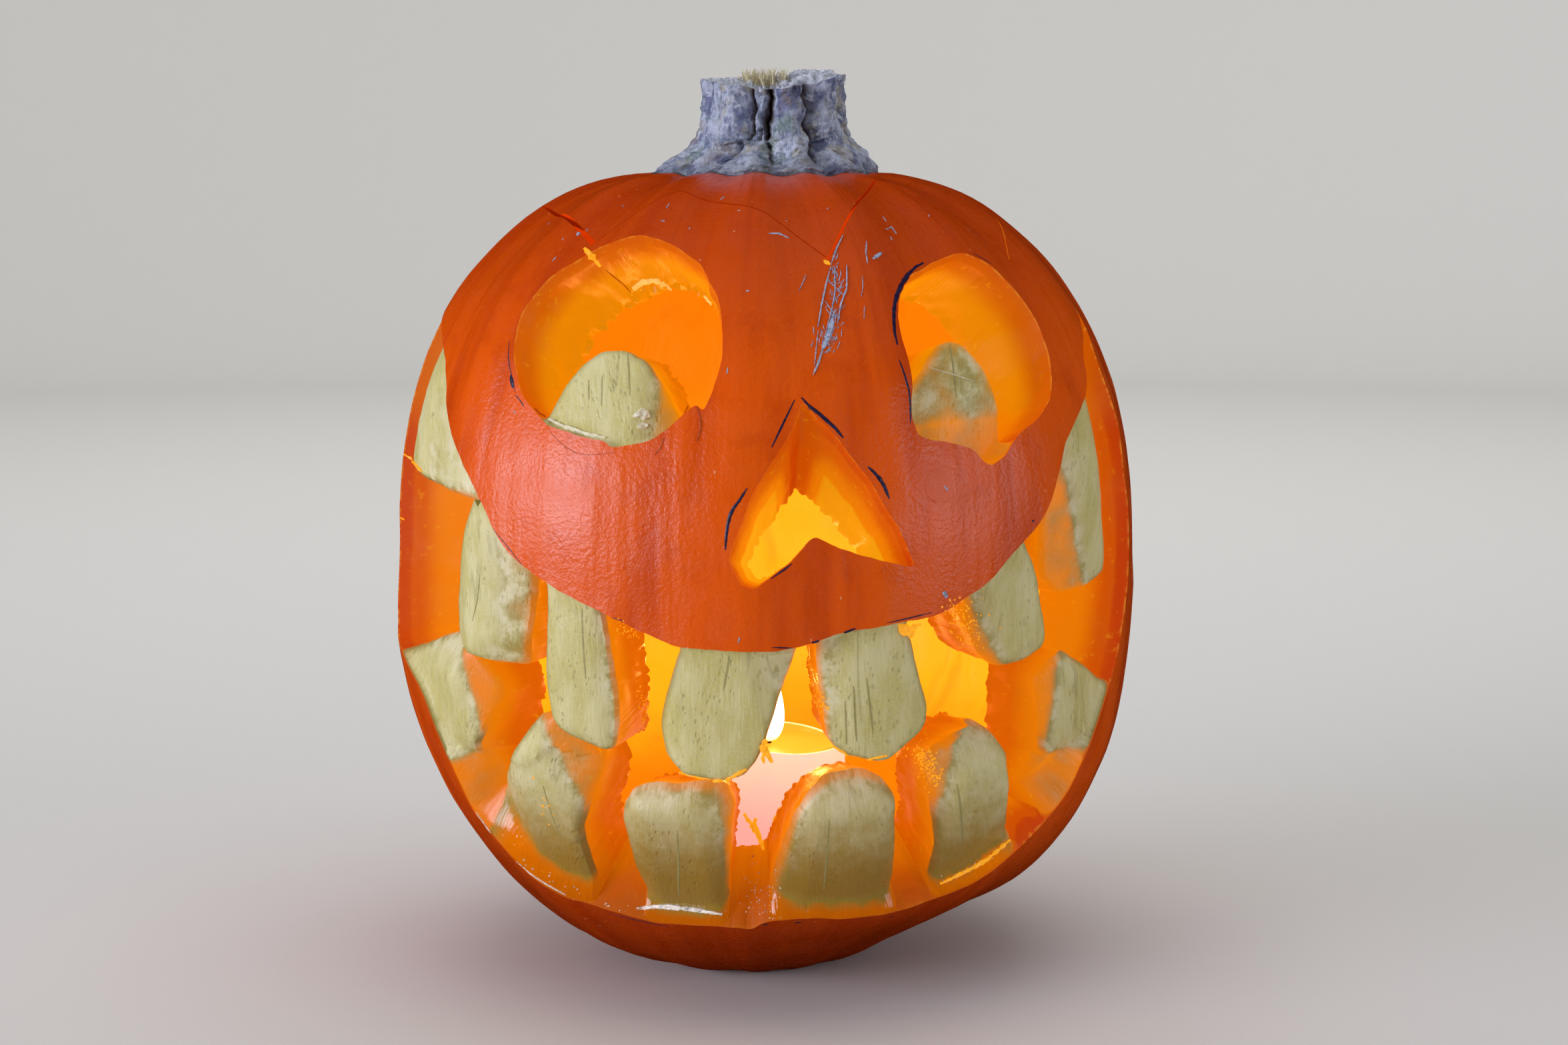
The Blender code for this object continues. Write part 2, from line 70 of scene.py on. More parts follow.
# The lid's cut: straight knife strokes from corner to corner, from the back round to the back
SEAM = (
    (-180, 58.2), (-160, 51), (-129, 62), (-98, 50), (-79, 58.5), (-37.5, 52.3), (-31, 58),
    (-23, 63.5), (-7, 60), (1, 58), (13, 49.8), (42, 67.5), (59, 49.3), (84, 60), (105, 51),
    (128, 62), (150, 50), (175, 60), (180, 58.2),
)
# How far the cut gapes along its way round: longitude and gap
SEAM_GAPS = (
    (-180, 0.3), (-98, 0.3), (-82, 0.2), (-66, 0.5), (-55, 0.72), (-38, 0.8), (-36.5, 0.2),
    (-20, 0.18), (0, 0.2), (12, 0.24), (13.5, 0.5), (24, 0.5), (40, 0.45), (44, 0.22), (58, 0.24),
    (100, 0.3), (180, 0.3),
)

# Openings: corners of each outline
MASK_EDGE = (
    (76, 41.5), (70.5, 37.5), (65.3, 34), (63.8, 31), (60.5, 28), (54.5, 25), (51, 22.5),
    (47.5, 17.5), (44.5, 13.5), (38.5, 9.5), (34.5, 6), (27, 2), (18, 0.5), (12, -0.2),
    (3.5, -2.6), (-10, -2.6), (-14.5, -1.2), (-26, 3.4), (-38.5, 8.8), (-42.5, 14),
    (-51.5, 22.5), (-56, 26.5), (-59.3, 30.6), (-64, 34), (-84, 42.5),
)
LIP_EDGE = (
    (-90, 32), (-93, 2), (-84, -8), (-72, -10.8), (-65, -15.5), (-62.5, -23), (-62, -31),
    (-62.3, -34.5), (-56, -38.5), (-51, -43.5), (-44, -47), (-33, -47.2), (-20, -49.3),
    (-5, -48.7), (-2.2, -49.3), (1, -47), (15, -47), (28.5, -47), (42, -43), (51.5, -36.3),
    (58.3, -30.5), (61.5, -22.5), (64, -15), (72, 2), (74.3, 11), (71.8, 16.5), (74, 24),
    (70.5, 31),
)
LEFT_EYE = (
    (-32.5, 26), (-39, 30), (-43.5, 36), (-45, 41), (-42.5, 47), (-36, 51.5), (-27, 53.3),
    (-19, 52.8), (-11.5, 49.5), (-7, 43.5), (-5.6, 37), (-6.8, 32), (-8.2, 28.6), (-9.6, 29.6),
    (-13.5, 26.5), (-15.5, 25), (-21.5, 23.8), (-22.8, 24.6),
)
RIGHT_EYE = (
    (23, 25), (22.4, 28), (23.2, 33), (22.6, 40), (24, 43.5), (28, 47.2), (36, 49.6),
    (43, 50.2), (49, 48), (52.5, 44), (54.3, 39.5), (53.5, 35), (50.5, 29.5), (46, 26.8),
    (40.5, 24.6), (37.7, 22), (34.5, 20.7), (31.5, 23.6),
)
NOSE = (
    (6.1, 30.2), (4.2, 26), (-0.8, 18.8), (-3.2, 13.2), (-4.2, 9.5), (-2.6, 6.3), (-0.6, 5.8),
    (3.5, 9), (7.2, 12.7), (11.5, 10.9), (21.6, 7.9), (19.3, 13.2), (15.6, 19.5), (11.6, 24.3),
)

# What is left standing in an opening, each outline drawn on past its root, and its knife
# facets: the way each falls off (0 is to the viewer's right, 90 up), where it starts in
# millimetres from the middle, its slope, and how much light comes through it
TEETH = (
    (((-85, 48), (-84.5, 41), (-83.5, 22), (-77, 19.2), (-63, 17), (-50, 16), (-44, 17.5),
      (-50, 40)),
     ((180, 3, 0.3, 0), (0, 5, 0.25, 0.2), (-70, 12, 0.5, 0.5))),
    (((-46, 20), (-52.3, 5), (-53.6, -0.5), (-53, -3.8), (-50.5, -6.5), (-46, -8),
      (-39.5, -8.3), (-38, -4.5), (-36, 14)),
     ((180, 6, 0.3, 0), (0, 3, 0.3, 0.55), (-60, 10, 0.5, 0.4))),
    (((-33, 14), (-32.7, 4), (-33.7, -10), (-33, -15), (-30.5, -17.3), (-24.5, -19.3),
      (-22.7, -18.3), (-21.8, -12), (-23.4, 1.5), (-24, 10)),
     ((180, 6, 0.35, 0), (0, 5, 0.3, 0.45), (-100, 14, 0.45, 0.1))),
    (((-9, 4), (-11, -2.5), (-14.3, -12), (-15.2, -16.5), (-14.6, -19.8), (-12, -22.2),
      (-5.5, -22.8), (-2.5, -21.2), (-0.8, -18.8), (1.2, -13.5), (5.2, -3), (7.5, 4)),
     ((195, 10, 0.4, 0), (15, 13, 0.35, 0.2), (-95, 14, 0.5, 0.1))),
    (((8.2, 4), (8.4, -6), (10.2, -16.5), (12.8, -19), (17.5, -19.8), (19.8, -19), (25, -15),
      (25.2, -12.3), (23.4, -8), (20.6, 1), (20, 6)),
     ((180, 8, 0.35, 0.5), (10, 11, 0.35, 0), (-110, 13, 0.5, 0.1), (-50, 14, 0.5, 0))),
    (((31, 9), (32, 2.5), (33, -1.5), (35.2, -5.5), (38, -7.8), (43.5, -7.2), (47.2, -4.8),
      (46.6, -1), (43.5, 6.5), (40, 14)),
     ((-150, 5, 0.45, 0.8), (0, 7, 0.3, 0), (-80, 9, 0.5, 0.1))),
    (((52, 30), (51, 19.5), (51, 4.5), (54.5, 1.6), (62, 2.2), (66.8, 4.2), (68.2, 9),
      (66.5, 16), (66, 28.5), (66, 38)),
     ((195, 3, 0.4, 0.8), (0, 6, 0.3, 0), (-85, 20, 0.5, 0.3))),
    (((-80, -12), (-64, -7.8), (-55, -5.2), (-51.5, -8), (-47.5, -13.5), (-51, -19),
      (-57, -26), (-60, -38), (-84, -30)),
     ((10, 4, 0.5, 0.9), (90, 9, 0.5, 0.2), (-75, 12, 0.3, 0.9))),
    (((-34, -15.6), (-38, -16.8), (-42.5, -21.5), (-49, -27), (-58, -33), (-66, -38),
      (-50, -54), (-38, -50), (-35, -35), (-30.5, -28), (-28.3, -23.5), (-30.2, -19.5)),
     ((15, 6, 0.5, 0.8), (100, 12, 0.5, 0.2), (170, 8, 0.3, 0))),
    (((-24.5, -54), (-25, -41), (-24.6, -33), (-23.6, -30), (-22, -28), (-19.5, -27),
      (-8.5, -26.2), (-6.2, -27.2), (-5.3, -29.3), (-6, -34), (-8.5, -54)),
     ((90, 10, 0.6, 0.4), (50, 11, 0.6, 0.5), (130, 13, 0.5, 0.3), (180, 9, 0.4, 0), (0, 8, 0.35, 0.7))),
    (((2, -54), (2.6, -45), (4.2, -37.5), (6.2, -30.3), (8, -27), (11, -25.2), (17, -24.4),
      (20, -25.4), (21.7, -27.2), (22.5, -31), (26.5, -44), (29, -54)),
     ((95, 10, 0.6, 0.4), (130, 12, 0.4, 0.6), (180, 9, 0.35, 0.6), (0, 11, 0.3, 0.2))),
    (((38, -54), (35.3, -41), (33, -35), (30.2, -27.5), (28.6, -23), (29.2, -20.8),
      (32, -19.3), (37, -18.3), (40.5, -19.8), (42.8, -22.5), (44.5, -28), (49.5, -37),
      (56, -46)),
     ((90, 9, 0.6, 0.2), (175, 5, 0.55, 0.8), (40, 11, 0.4, 0.2))),
    (((60, -40), (55.5, -31), (52.5, -22.5), (50.3, -16), (49.2, -12), (51, -9), (54, -8),
      (59, -10.5), (65, -13.8), (66.5, -19), (66, -26), (63, -38)),
     ((180, -1, 0.5, 0.9), (80, 12, 0.5, 0.2), (-90, 8, 0.3, 0.9))),
)
LEFT_PUPIL = (
    ((-36.5, 24), (-34, 28), (-32, 32), (-29, 35.3), (-26.5, 37), (-22, 37.2), (-18.5, 36),
     (-16, 33.5), (-13.5, 30.3), (-12, 27), (-11, 19), (-38, 19)),
    ((0, 7, 0.4, 0.8), (80, 8, 0.3, 0)),
)
RIGHT_PUPIL = (
    ((19, 31.5), (24, 32), (27.5, 35), (29.5, 37), (32, 38.4), (35, 38.4), (38, 35),
     (39.6, 31.5), (39.6, 27), (40, 17), (19, 17)),
    ((180, 5, 0.35, 0), (0, 6, 0.3, 0.75), (-90, 5, 0.2, 0.85), (-90, -20, 0.01, 0.58)),
)

# Marks on the pumpkin, as seen from the front: width and rise in millimetres, then the places
# each runs through
SCAR = (
    (0.6, 0.3, ((17, 53.5), (15, 51.5), (13.2, 49))),
    (0.6, 0.4, ((13, 48.5), (11.6, 46), (10.3, 43), (9.3, 40))),
    (0.6, 0.4, ((16, 48.5), (15, 45), (13.6, 43), (12.6, 40.5))),
    (0.5, 0.3, ((13.7, 48.5), (13, 45), (12, 42.5), (10.6, 39.5))),
    (0.3, 0.2, ((12, 46.5), (13.6, 45), (14.4, 44))),
    (0.3, 0.2, ((11, 43.5), (12, 42), (12.8, 41))),
    (1.9, 0.4, ((12, 41.5), (11, 39), (9.8, 37))),
    (0.8, 0.3, ((10, 37.5), (8.8, 35), (7.9, 33.5))),
    (0.4, 0.2, ((9.3, 39.5), (8.8, 37.5), (8.2, 34.7))),
    (0.4, 0.2, ((8.2, 47.5), (7.3, 46), (6.6, 45))),
    (0.3, 0.2, ((18.3, 46.7), (17.9, 45), (17.2, 43.7))),
    (0.3, 0.2, ((17.4, 42.3), (17, 40.7))),
    (0.5, 0.2, ((21.5, 52.3), (20.4, 50.3), (20, 48.6))),
    (1.5, 0.3, ((21.4, 49.3), (23.8, 50.4))),
    (0.5, 0.2, ((28, 55), (30.3, 55.8), (30.3, 54.4))),
    (1.8, 0.4, ((25.8, 4.6), (26.3, 3.8))),
    (1.1, 0.1, ((1.6, 54), (3.7, 54.3), (5.7, 53.7))),
    (1.6, 0.2, ((-43.8, 55), (-43.2, 53.7))),
)
SCAR_HATCHING = ((10, 37), (12, 40.5), (13, 45), (14.5, 49.5))
FLECKS = (
    (-46, 52.5), (-42, 54.5), (-31, 60), (-23.5, 59), (-38.5, 60.5), (-23, 56.5), (-11, 62),
    (-16, 55.5), (5.5, 57), (28, 53), (30, 57), (-44.5, 49), (-60, 56), (42, 57), (-39.5, 27.5),
    (-3, -1.5), (-15.5, 41.5), (-2.5, 44.5), (-5, 33.5), (27, 18), (16, 59), (-5.5, 58.5),
)
INK = (
    (0.5, 0.05, ((-44.9, 37), (-44, 35), (-42.9, 33.5), (-41.6, 32), (-40.4, 30.3))),
    (2.2, 0.06, ((-42.3, 32.5), (-41, 30.9))),
    (0.6, 0.05, ((-40.2, 30), (-39, 29.3), (-38, 28.6))),
    (1.9, 0.06, ((21.7, 37), (21.7, 38.7), (22, 40.2), (22.4, 41.5), (23, 42.7), (24, 44),
                 (25.2, 45.2), (26.4, 46.2), (27.8, 47.2), (30.7, 48.7), (33, 49.4))),
    (1.1, 0.05, ((21.5, 35), (22, 33), (22.4, 31), (22.3, 29), (22, 27))),
    (0.5, 0.05, ((45.7, 49.8), (47.5, 49), (49.4, 48.2))),
    (0.9, 0.05, ((1.6, 24.2), (2.8, 26.4), (3.8, 28.2), (5, 30.3))),
    (1.7, 0.06, ((6, 30.6), (7.2, 29.4), (8.5, 28.5), (9.7, 27.5), (10.8, 26.6), (11.8, 25.4))),
    (1.7, 0.06, ((15.2, 21.6), (16, 20.9), (16.8, 20), (17.4, 19), (18, 17.4))),
    (0.7, 0.05, ((1.4, 7.2), (3.2, 8.4), (4.3, 9.2))),
    (1.5, 0.06, ((-1.8, 19), (-2.8, 17.5), (-3.6, 16.5), (-4.1, 15.5), (-4.4, 14.3),
                 (-4.6, 12.8), (-4.7, 11))),
    (0.6, 0.05, ((1.6, -2.1), (3.3, -2.2), (5.3, -2.3))),
    (1.0, 0.05, ((7, -1.6), (10, -0.8), (13, 0.2))),
    (0.6, 0.05, ((17.4, 0.8), (20.5, 1.3), (24, 1.9))),
    (0.4, 0.05, ((-47, 18.5), (-44, 14), (-38.5, 10), (-34.3, 6.6), (-27, 2.6), (-19, 1))),
    (1.0, 0.06, ((41.7, 13), (42.1, 13))),
    (0.9, 0.06, ((30.8, 3.9), (31.2, 3.9))),
    (1.0, 0.06, ((0.2, -47.9), (1.2, -47.8))),
    (1.1, 0.06, ((6.6, -47.9), (8, -47.9))),
    (1.2, 0.06, ((27.2, -48.2), (27.8, -48.2))),
    (0.5, 0.05, ((-33, -48.3), (-25, -49), (-20, -50))),
)
# Brown threads and cracks in their own colour; their material adds a painted glow
RUST = (
    (0.3, 0.1, ((-32.5, 25.9), (-31.3, 25), (-30.2, 24.3), (-28.7, 23.5), (-27, 22.9), (-25, 22.7),
                (-21, 23.2))),
    (0.5, 0.2, ((-29.6, 47.5), (-26.7, 46.2), (-24.7, 45.3), (-22.6, 44.1))),
    (0.6, 0.3, ((-11, 28.6), (-10, 30.6))),
    (0.8, 0.3, ((-35.8, 28.4), (-34.7, 27.8), (-33.4, 27.4))),
    (0.4, 0.2, ((24, 17), (25, 16.6))),
    (0.5, 0.2, ((-13.8, 25.4), (-14.2, 24.1), (-15, 23.2))),
    (0.6, 0.3, ((-9.3, 29.5), (-8.7, 28), (-8.5, 27), (-8.7, 25.8), (-9, 25))),
)
PULP = (
    (2.2, 0.5, ((-38.8, 51.7), (-36.2, 50.6), (-33.7, 49.4), (-31.5, 48.3))),
    (0.9, 0.7, ((-13.6, -18.7), (-11.9, -20.4), (-8.7, -21), (-5.2, -21), (-2, -19.2))),
    (0.6, 0.5, ((10.1, -16), (12.7, -17.7), (15.3, -18.2), (18, -17.7))),
    (1.3, 1.0, ((34, -41.2), (38.2, -39.4), (42, -37.4), (45.4, -34.4))),
    (0.9, 0.6, ((-74, 19.6), (-67, 19.4), (-61.5, 18))),
    (0.7, 0.5, ((-75, 10.5), (-68, 10.5), (-63, 11))),
    (1.3, 0.4, ((12, 49.7), (13.1, 49))),
)
EYE_RIM = (
    (2.0, 0.9, ((-22.8, 44.8), (-21.2, 46), (-19.2, 46.4), (-16.7, 45.6))),
    (1.0, 0.6, ((-16.5, 45.4), (-14, 44.4))),
    (0.8, 0.6, ((-9.6, 44.2), (-8.2, 42.9), (-7.2, 41.3))),
)
PITH = (
    (3.2, 0.9, ((-18.8, 27.9), (-17.6, 28.4), (-16.2, 28))),
    (1.8, 0.7, ((-18, 26.7), (-16.4, 26.9))),
    (0.4, 0.1, ((26.4, 34), (30.2, 33.2), (34.6, 32))),
    (1.5, 0.7, ((-32.6, 27), (-29, 26), (-25.6, 25.3), (-22.6, 24.9))),
)
VEINS = (
    (1.0, 0.07, ((-13, -29.5), (-13.8, -35.5), (-15.2, -42))),
    (1.1, 0.07, ((30.3, -23.3), (32.2, -28), (34.6, -33.4))),
    (0.9, 0.07, ((12.8, -7.7), (13.1, -11.6), (13.5, -15.6))),
    (0.9, 0.07, ((14.6, -6.7), (15.2, -10.7), (15.8, -14.5))),
    (0.8, 0.07, ((11.7, -9.8), (12.1, -16))),
    (0.9, 0.07, ((-4.2, -3.2), (-4.5, -5.3), (-5, -8))),
    (0.9, 0.07, ((-25.2, 2.2), (-25, -2), (-24.8, -7.4))),
    (0.9, 0.07, ((-21, 36), (-20.3, 33.7), (-19.6, 30.6))),
    (0.7, 0.07, ((-24.5, 33), (-24.1, 31), (-23.8, 29))),
    (0.7, 0.07, ((-26.6, 32.3), (-26, 29.8))),
    (0.8, 0.07, ((31.4, 37), (31.2, 35.3), (30.9, 33.5), (30.4, 30))),
    (0.8, 0.07, ((-43.8, 5.4), (-44.4, 1.6), (-45.4, -1.4))),
    (0.9, 0.07, ((-35.5, -24.8), (-35.7, -30.3), (-35.2, -33.6))),
    (0.8, 0.07, ((10.3, -27.4), (10.6, -35), (10.9, -40))),
)
# The wet streaks: glossy juice ridges, painted whitish as highlights
WET_GLINTS = (
    (1.9, 0.6, ((-25, -45.7), (-21, -44.9), (-18, -44.8), (-13, -45), (-7.6, -45.5))),
    (0.5, 0.3, ((-53, -41), (-49, -43.2), (-43, -46))),
    (0.5, 0.3, ((-61, -34), (-58, -37))),
    (0.5, 0.3, ((35, -40.9), (38.4, -39), (42, -37))),
)
# Where crumbs of flesh and beads of juice are strewn: two ends of a line, how far they stray
# in degrees, and how many there are
CRUMBS = (
    ((-17, -8.5), (-16, -14.8), 0.6, 46), ((-20.3, 0.2), (-17.5, -0.7), 0.5, 40),
    ((6, -3.5), (8.6, -11.4), 0.5, 150), ((26.5, 2), (31, -2.6), 1.6, 150),
    ((22.5, -17), (26.5, -22.5), 0.8, 170),
    ((-27, 49.5), (-22, 44.5), 0.8, 12), ((-38, -24), (-36, -31), 1.0, 16),
)
# The beads of juice are painted whitish, as glints
GLINT_BEADS = (
    ((-0.5, -29), (-1.5, -44), 0.9, 34), ((3, -36), (0.5, -45), 0.8, 26),
    ((-4, -43.5), (3, -46), 0.8, 14), ((-50, -41), (-36, -46), 1.0, 16),
    ((34, -41), (46, -35), 0.8, 14), ((-33, -46), (-25, -47), 0.6, 8),
)
# Torn scraps that hang free: width in millimetres, where they hold on, then where they run
SCRAPS = (
    (1.7, (-1.5, -14), ((0.8, -15), (0.2, -16), (0.9, -17), (1.6, -18.3))),
    (1.0, (-1.5, -14), ((0.7, -16.6), (0.3, -17.6), (0.5, -18.4))),
    (1.9, (0.4, -32), ((0.4, -32), (-0.5, -29.2), (-1.3, -27.7), (-1.9, -27.2), (-2.5, -26.1))),
    (1.1, (0.4, -32), ((-1.2, -29), (-1.1, -28), (-0.7, -26.7))),
    (1.6, (0.4, -32), ((3.2, -29), (2.3, -27.2), (2.9, -25.5))),
    (2.6, (18, -3), ((19, 0.6), (20.3, -0.6), (21.4, -1))),
    (1.4, (18, -3), ((20.6, -0.4), (21.7, 0.2), (22.4, 0.3))),
)

# How far each outline's corners are rounded, from 0 to 1
MOUTH_ROUNDING, TOOTH_ROUNDING, NOSE_ROUNDING = 0.6, 0.5, 0.35
EYE_ROUNDING, PUPIL_ROUNDING = 0.65, 0.7

# How much wider than its outline, in degrees, a peeled piece is cut, as its edge lies deeper:
# twice as much where its middle is below this latitude
TONGUE_MARGIN, LOWER_TEETH = 0.28, -20

# How the cuts slant on their way in: how far the lid's cut rises, the lower teeth's tips dip
# about a latitude, and the eyes rise above their feet
SEAM_SLANT = 8.5
TIP_DIP, TIP_DIP_AT, TIP_DIP_REACH = 5.0, -27.0, 11.0
EYE_RISE, EYE_FOOT, EYE_RISE_SPAN = 5.5, 22.0, 18.0
# Longitudes of the eyes, and the latitude from which the left one's wall is torn
LEFT_EYE_SPAN, RIGHT_EYE_SPAN = (-49.0, -1.0), (20.0, 56.0)
LEFT_EYE_TORN = 33.0
# The nose's longitudes and latitudes, the place it narrows towards, and how much of it is left
NOSE_SPAN = ((-8.0, 24.0), (4.0, 30.0))
NOSE_MIDDLE, NOSE_SHRINK = (7.0, 8.0), (0.85, 0.68)

# ---------------------------------------------------------------- fineness of the meshes

# Spacing of places in degrees: along the outlines, beside them, on the fronts, on the skin
# and in the cavity
OUTLINE_STEP, BAND_STEPS = 0.55, (0.4, 0.95, 1.6)
FINE_STEP, SKIN_STEP, CAVITY_STEP = 0.85, 1.6, 2.2
# The rings of a cut's wall, as shares of the way in
WALL_SHARES = (0.03, 0.09, 0.18, 0.29, 0.41, 0.53, 0.65, 0.76, 0.85, 0.93, 1.0)
# Latitudes of the foot, the cavity's floor and the stem's foot, and the longitude of the back
BASE_LATITUDE, FLOOR_LATITUDE, STEM_BASE_LATITUDE = -80.0, -72.0, 74.0
BACK = 180.0
# Latitudes that the fine and the even places reach, past the highest cut
FRONTS_SPAN = (-56, 60)
SKIN_TOP, CAVITY_TOP, LID_TOP = 69, 76, 88
# How clear places are kept of the lid's cut and of the stem's foot, in degrees
SEAM_MARGIN = 0.3
STEM_SIDES, STEM_LEVELS, STEM_TOP_RINGS = 300, 96, 20
# Places this close count as one in the flat maps
CDT_GRAIN = 1e-4

SKIN, FRONT = "skin", "front"
SKIN_SLOT, WALL_SLOT, CAVITY_SLOT, STEM_SLOT = range(4)


def linear(red, green, blue):
    """A screen colour, each part from 0 to 255, as linear light."""
    parts = [part / 255 for part in (red, green, blue)]
    return tuple(p / 12.92 if p <= 0.04045 else ((p + 0.055) / 1.055) ** 2.4 for p in parts)


# ---------------------------------------------------------------- what a user would change


def length(name, description, default):
    return bpy.props.FloatProperty(
        name=name, description=description, default=default, unit="LENGTH", precision=4
    )


def number(name, description, default, subtype="NONE"):
    return bpy.props.FloatProperty(
        name=name, description=description, default=default, subtype=subtype
    )


def colour(name, description, default):
    return bpy.props.FloatVectorProperty(
        name=name, description=description, default=default, subtype="COLOR", min=0, max=1
    )


class LanternSizes(bpy.types.PropertyGroup):
    """Sizes of the pumpkin, its stem and its candle."""

    body_radius: length("Body radius", "Half the pumpkin's width", 0.1193)
    core_height: length("Core height", "Height of the middle of the globe", 0.1252)
    rise: length("Rise", "From the core up to the crown, before its dimple", 0.1337)
    drop: length("Drop", "From the core down to the bottom, before it is flattened", 0.1294)
    wall: length("Wall", "Thickness of the scraped-out wall", 0.028)
    cavity_floor: length("Cavity floor", "Height of the floor that the candle stands on", 0.032)
    peeled_depth: length("Peeled depth", "How deep the upper teeth are peeled", 0.0032)
    low_peeled_depth: length("Low peeled depth", "How deep the lower teeth are peeled", 0.0050)
    bevel: length("Bevel", "How far the upper teeth's edges are rounded off", 0.0014)
    stem_top: length("Stem top", "Height of the stem's top", LID_BOX[1].z)
    candle_radius: length("Candle radius", "Half the candle's width", CANDLE_WIDTH / 2)
    flame_height: length("Flame height", "Height of the flame", 0.029)
    flame_radius: length("Flame radius", "Half the flame's width", 0.0056)


class LanternColours(bpy.types.PropertyGroup):
    """Colours of the pumpkin, its stem and its candle."""

    skin: colour("Skin", "The rind", linear(228, 86, 0))
    skin_deep: colour("Deep skin", "The rind in its grooves and darker places", linear(180, 50, 0))
    skin_pale: colour("Pale skin", "The rind's lighter bands", linear(226, 92, 4))
    scar: colour("Scar", "Corky healed scratches on the rind", linear(170, 178, 205))
    peeled: colour("Peeled", "Peeled fronts of teeth and pupils", linear(190, 177, 102))
    peeled_pale: colour("Pale peeled", "Whitish mottling of the peeled fronts", linear(218, 208, 158))
    peeled_olive: colour("Olive peeled", "Olive streaks in the peeled fronts", linear(140, 128, 62))
    flesh: colour("Flesh", "The flesh where light comes through", linear(140, 62, 2))
    glow_deep: colour("Deep glow", "Light through thick flesh", linear(186, 48, 0))
    glow: colour("Glow", "Light through the wall", linear(206, 84, 0))
    glow_bright: colour("Bright glow", "Light on the cavity's side", linear(232, 120, 0))
    glow_eyes: colour("Eye glow", "Light on the walls of the eyes", linear(204, 96, 0))
    glow_hot: colour("Hot glow", "Light near the flame", linear(252, 190, 20))
    stem: colour("Stem", "The corky stem", linear(128, 138, 164))
    stem_pale: colour("Pale stem", "The stem's cut top and crests", linear(190, 198, 218))
    # The crevices' brown-black: partly their own colour, partly painted shade
    stem_crevice_brown_and_shade: colour("Dark stem", "The stem's crevices", linear(30, 24, 24))
    wax: colour("Wax", "The candle's wax", linear(214, 170, 158))
    ink: colour("Ink", "Felt-pen marks", linear(46, 30, 66))
    floor: colour("Floor", "The plain floor", linear(226, 225, 222))


class LanternStage(bpy.types.PropertyGroup):
    """Camera and lights."""

    distance: length("Camera distance", "From the camera to the lantern's middle", 0.85)
    target_height: length("Target height", "Height that the camera looks at", 0.1404)
    target_side: length("Target side", "How far to the side the camera looks", 0.0066)
    elevation: number(
        "Camera elevation", "Angle that the camera looks down by", math.radians(7.5), "ANGLE"
    )
    lens: number("Lens", "Focal length in millimetres", 60.5)
    key_power: number("Key light", "Power of the large front light", 10.2, "POWER")
    fill_power: number("Fill light", "Power of the side light", 2.4, "POWER")
    top_power: number("Top light", "Power of the light overhead", 7.0, "POWER")
    wall_power: number("Wall light", "Power of the light on the backdrop", 26.0, "POWER")
    flame_power: number("Flame light", "Power of the light in the flame", 0.35, "POWER")
    room: number("Room light", "Strength of the even light all round", 0.36)


# ---------------------------------------------------------------- curves, noise and places


# How each finer octave of noise weakens and by what it shrinks
FALL_OFF, FINER = 1.0, 2.0
# The unsteadiness of the hand that cuts the outlines: how far in degrees, and how often
SWAY, TREMBLE = (0.22, 5.0), (0.07, 1.4)
# What a side that runs straight up the flat map counts as going across, and how many places
# are worked on at once
SLIGHT, CHUNK = 1e-12, 2048
FEWEST_IN_ROW = 24
# How clear of one another places are kept, as shares of their step
BAND_CLEAR, FINE_CLEAR, FILL_CLEAR, SLIT_CLEAR = 0.8, 0.6, 0.62, 0.4


def hump(value, middle, reach):
    return np.exp(-(((value - middle) / reach) ** 2))


def smooth(value, low, high):
    """From 0 at low to 1 at high, with soft ends."""
    share = np.clip((value - low) / (high - low), 0, 1)
    return share * share * (3 - 2 * share)


def rough(points, size, seed, octaves=2):
    """Even noise from about -1 to 1, with lumps of the given size."""
    shift = Vector((seed * 7.13, seed * 3.71, seed * 5.37))
    spots = [Vector(point) / size + shift for point in np.asarray(points, float).tolist()]
    return np.array([noise.fractal(spot, FALL_OFF, FINER, octaves) for spot in spots])


def layered(points, *layers):
    """Noises added up, each given by its reach, its size, its seed and its octaves."""
    return sum(reach * rough(points, size, *how) for reach, size, *how in layers)


def flat(places):
    """Places as points in a plane, for noise over them."""
    places = np.asarray(places, float)
    return np.column_stack((places, np.zeros(len(places))))


def flat_rough(places, size, seed, octaves=2):
    """Even noise over a list of places."""
    return rough(flat(places), size, seed, octaves)


def read_off(table, value):
    """A table's second column, read off at these values of its first."""
    return np.interp(value, *np.array(table, float).T)


def directions(places):
    """Unit vectors from the core towards each place."""
    lon, lat = np.radians(np.asarray(places, float)).T
    out = np.cos(lat)
    return np.stack((out * np.sin(lon), -out * np.cos(lon), np.sin(lat)), 1)


def between(a, b, share):
    return tuple(p + (q - p) * share for p, q in zip(a, b))


def spacing(a, b):
    """Distance in degrees over the globe between two nearby places."""
    across = (a[0] - b[0]) * math.cos(math.radians((a[1] + b[1]) / 2))
    return math.hypot(across, a[1] - b[1])


def stroke(a, b, step):
    """Places along a straight knife stroke over the globe, from a up to but without b."""
    ends = [Vector(point) for point in directions((a, b)).tolist()]
    count = max(1, math.ceil(spacing(a, b) / step))
    places = [a]
    for i in range(1, count):
        way = ends[0].slerp(ends[1], i / count)
        places.append((math.degrees(math.atan2(way.x, -way.y)), math.degrees(math.asin(way.z))))
    return places


def seam_line(step):
    strokes = [stroke(a, b, step) for a, b in zip(SEAM, SEAM[1:])]
    return np.array([place for line in strokes for place in line] + [SEAM[-1]], float)


SEAM_LINE = seam_line(OUTLINE_STEP)


def seam_latitude(lon):
    """Latitude of the lid's cut at these longitudes."""
    return read_off(SEAM_LINE, lon)


def seam_gap(lon):
    return read_off(SEAM_GAPS, lon)


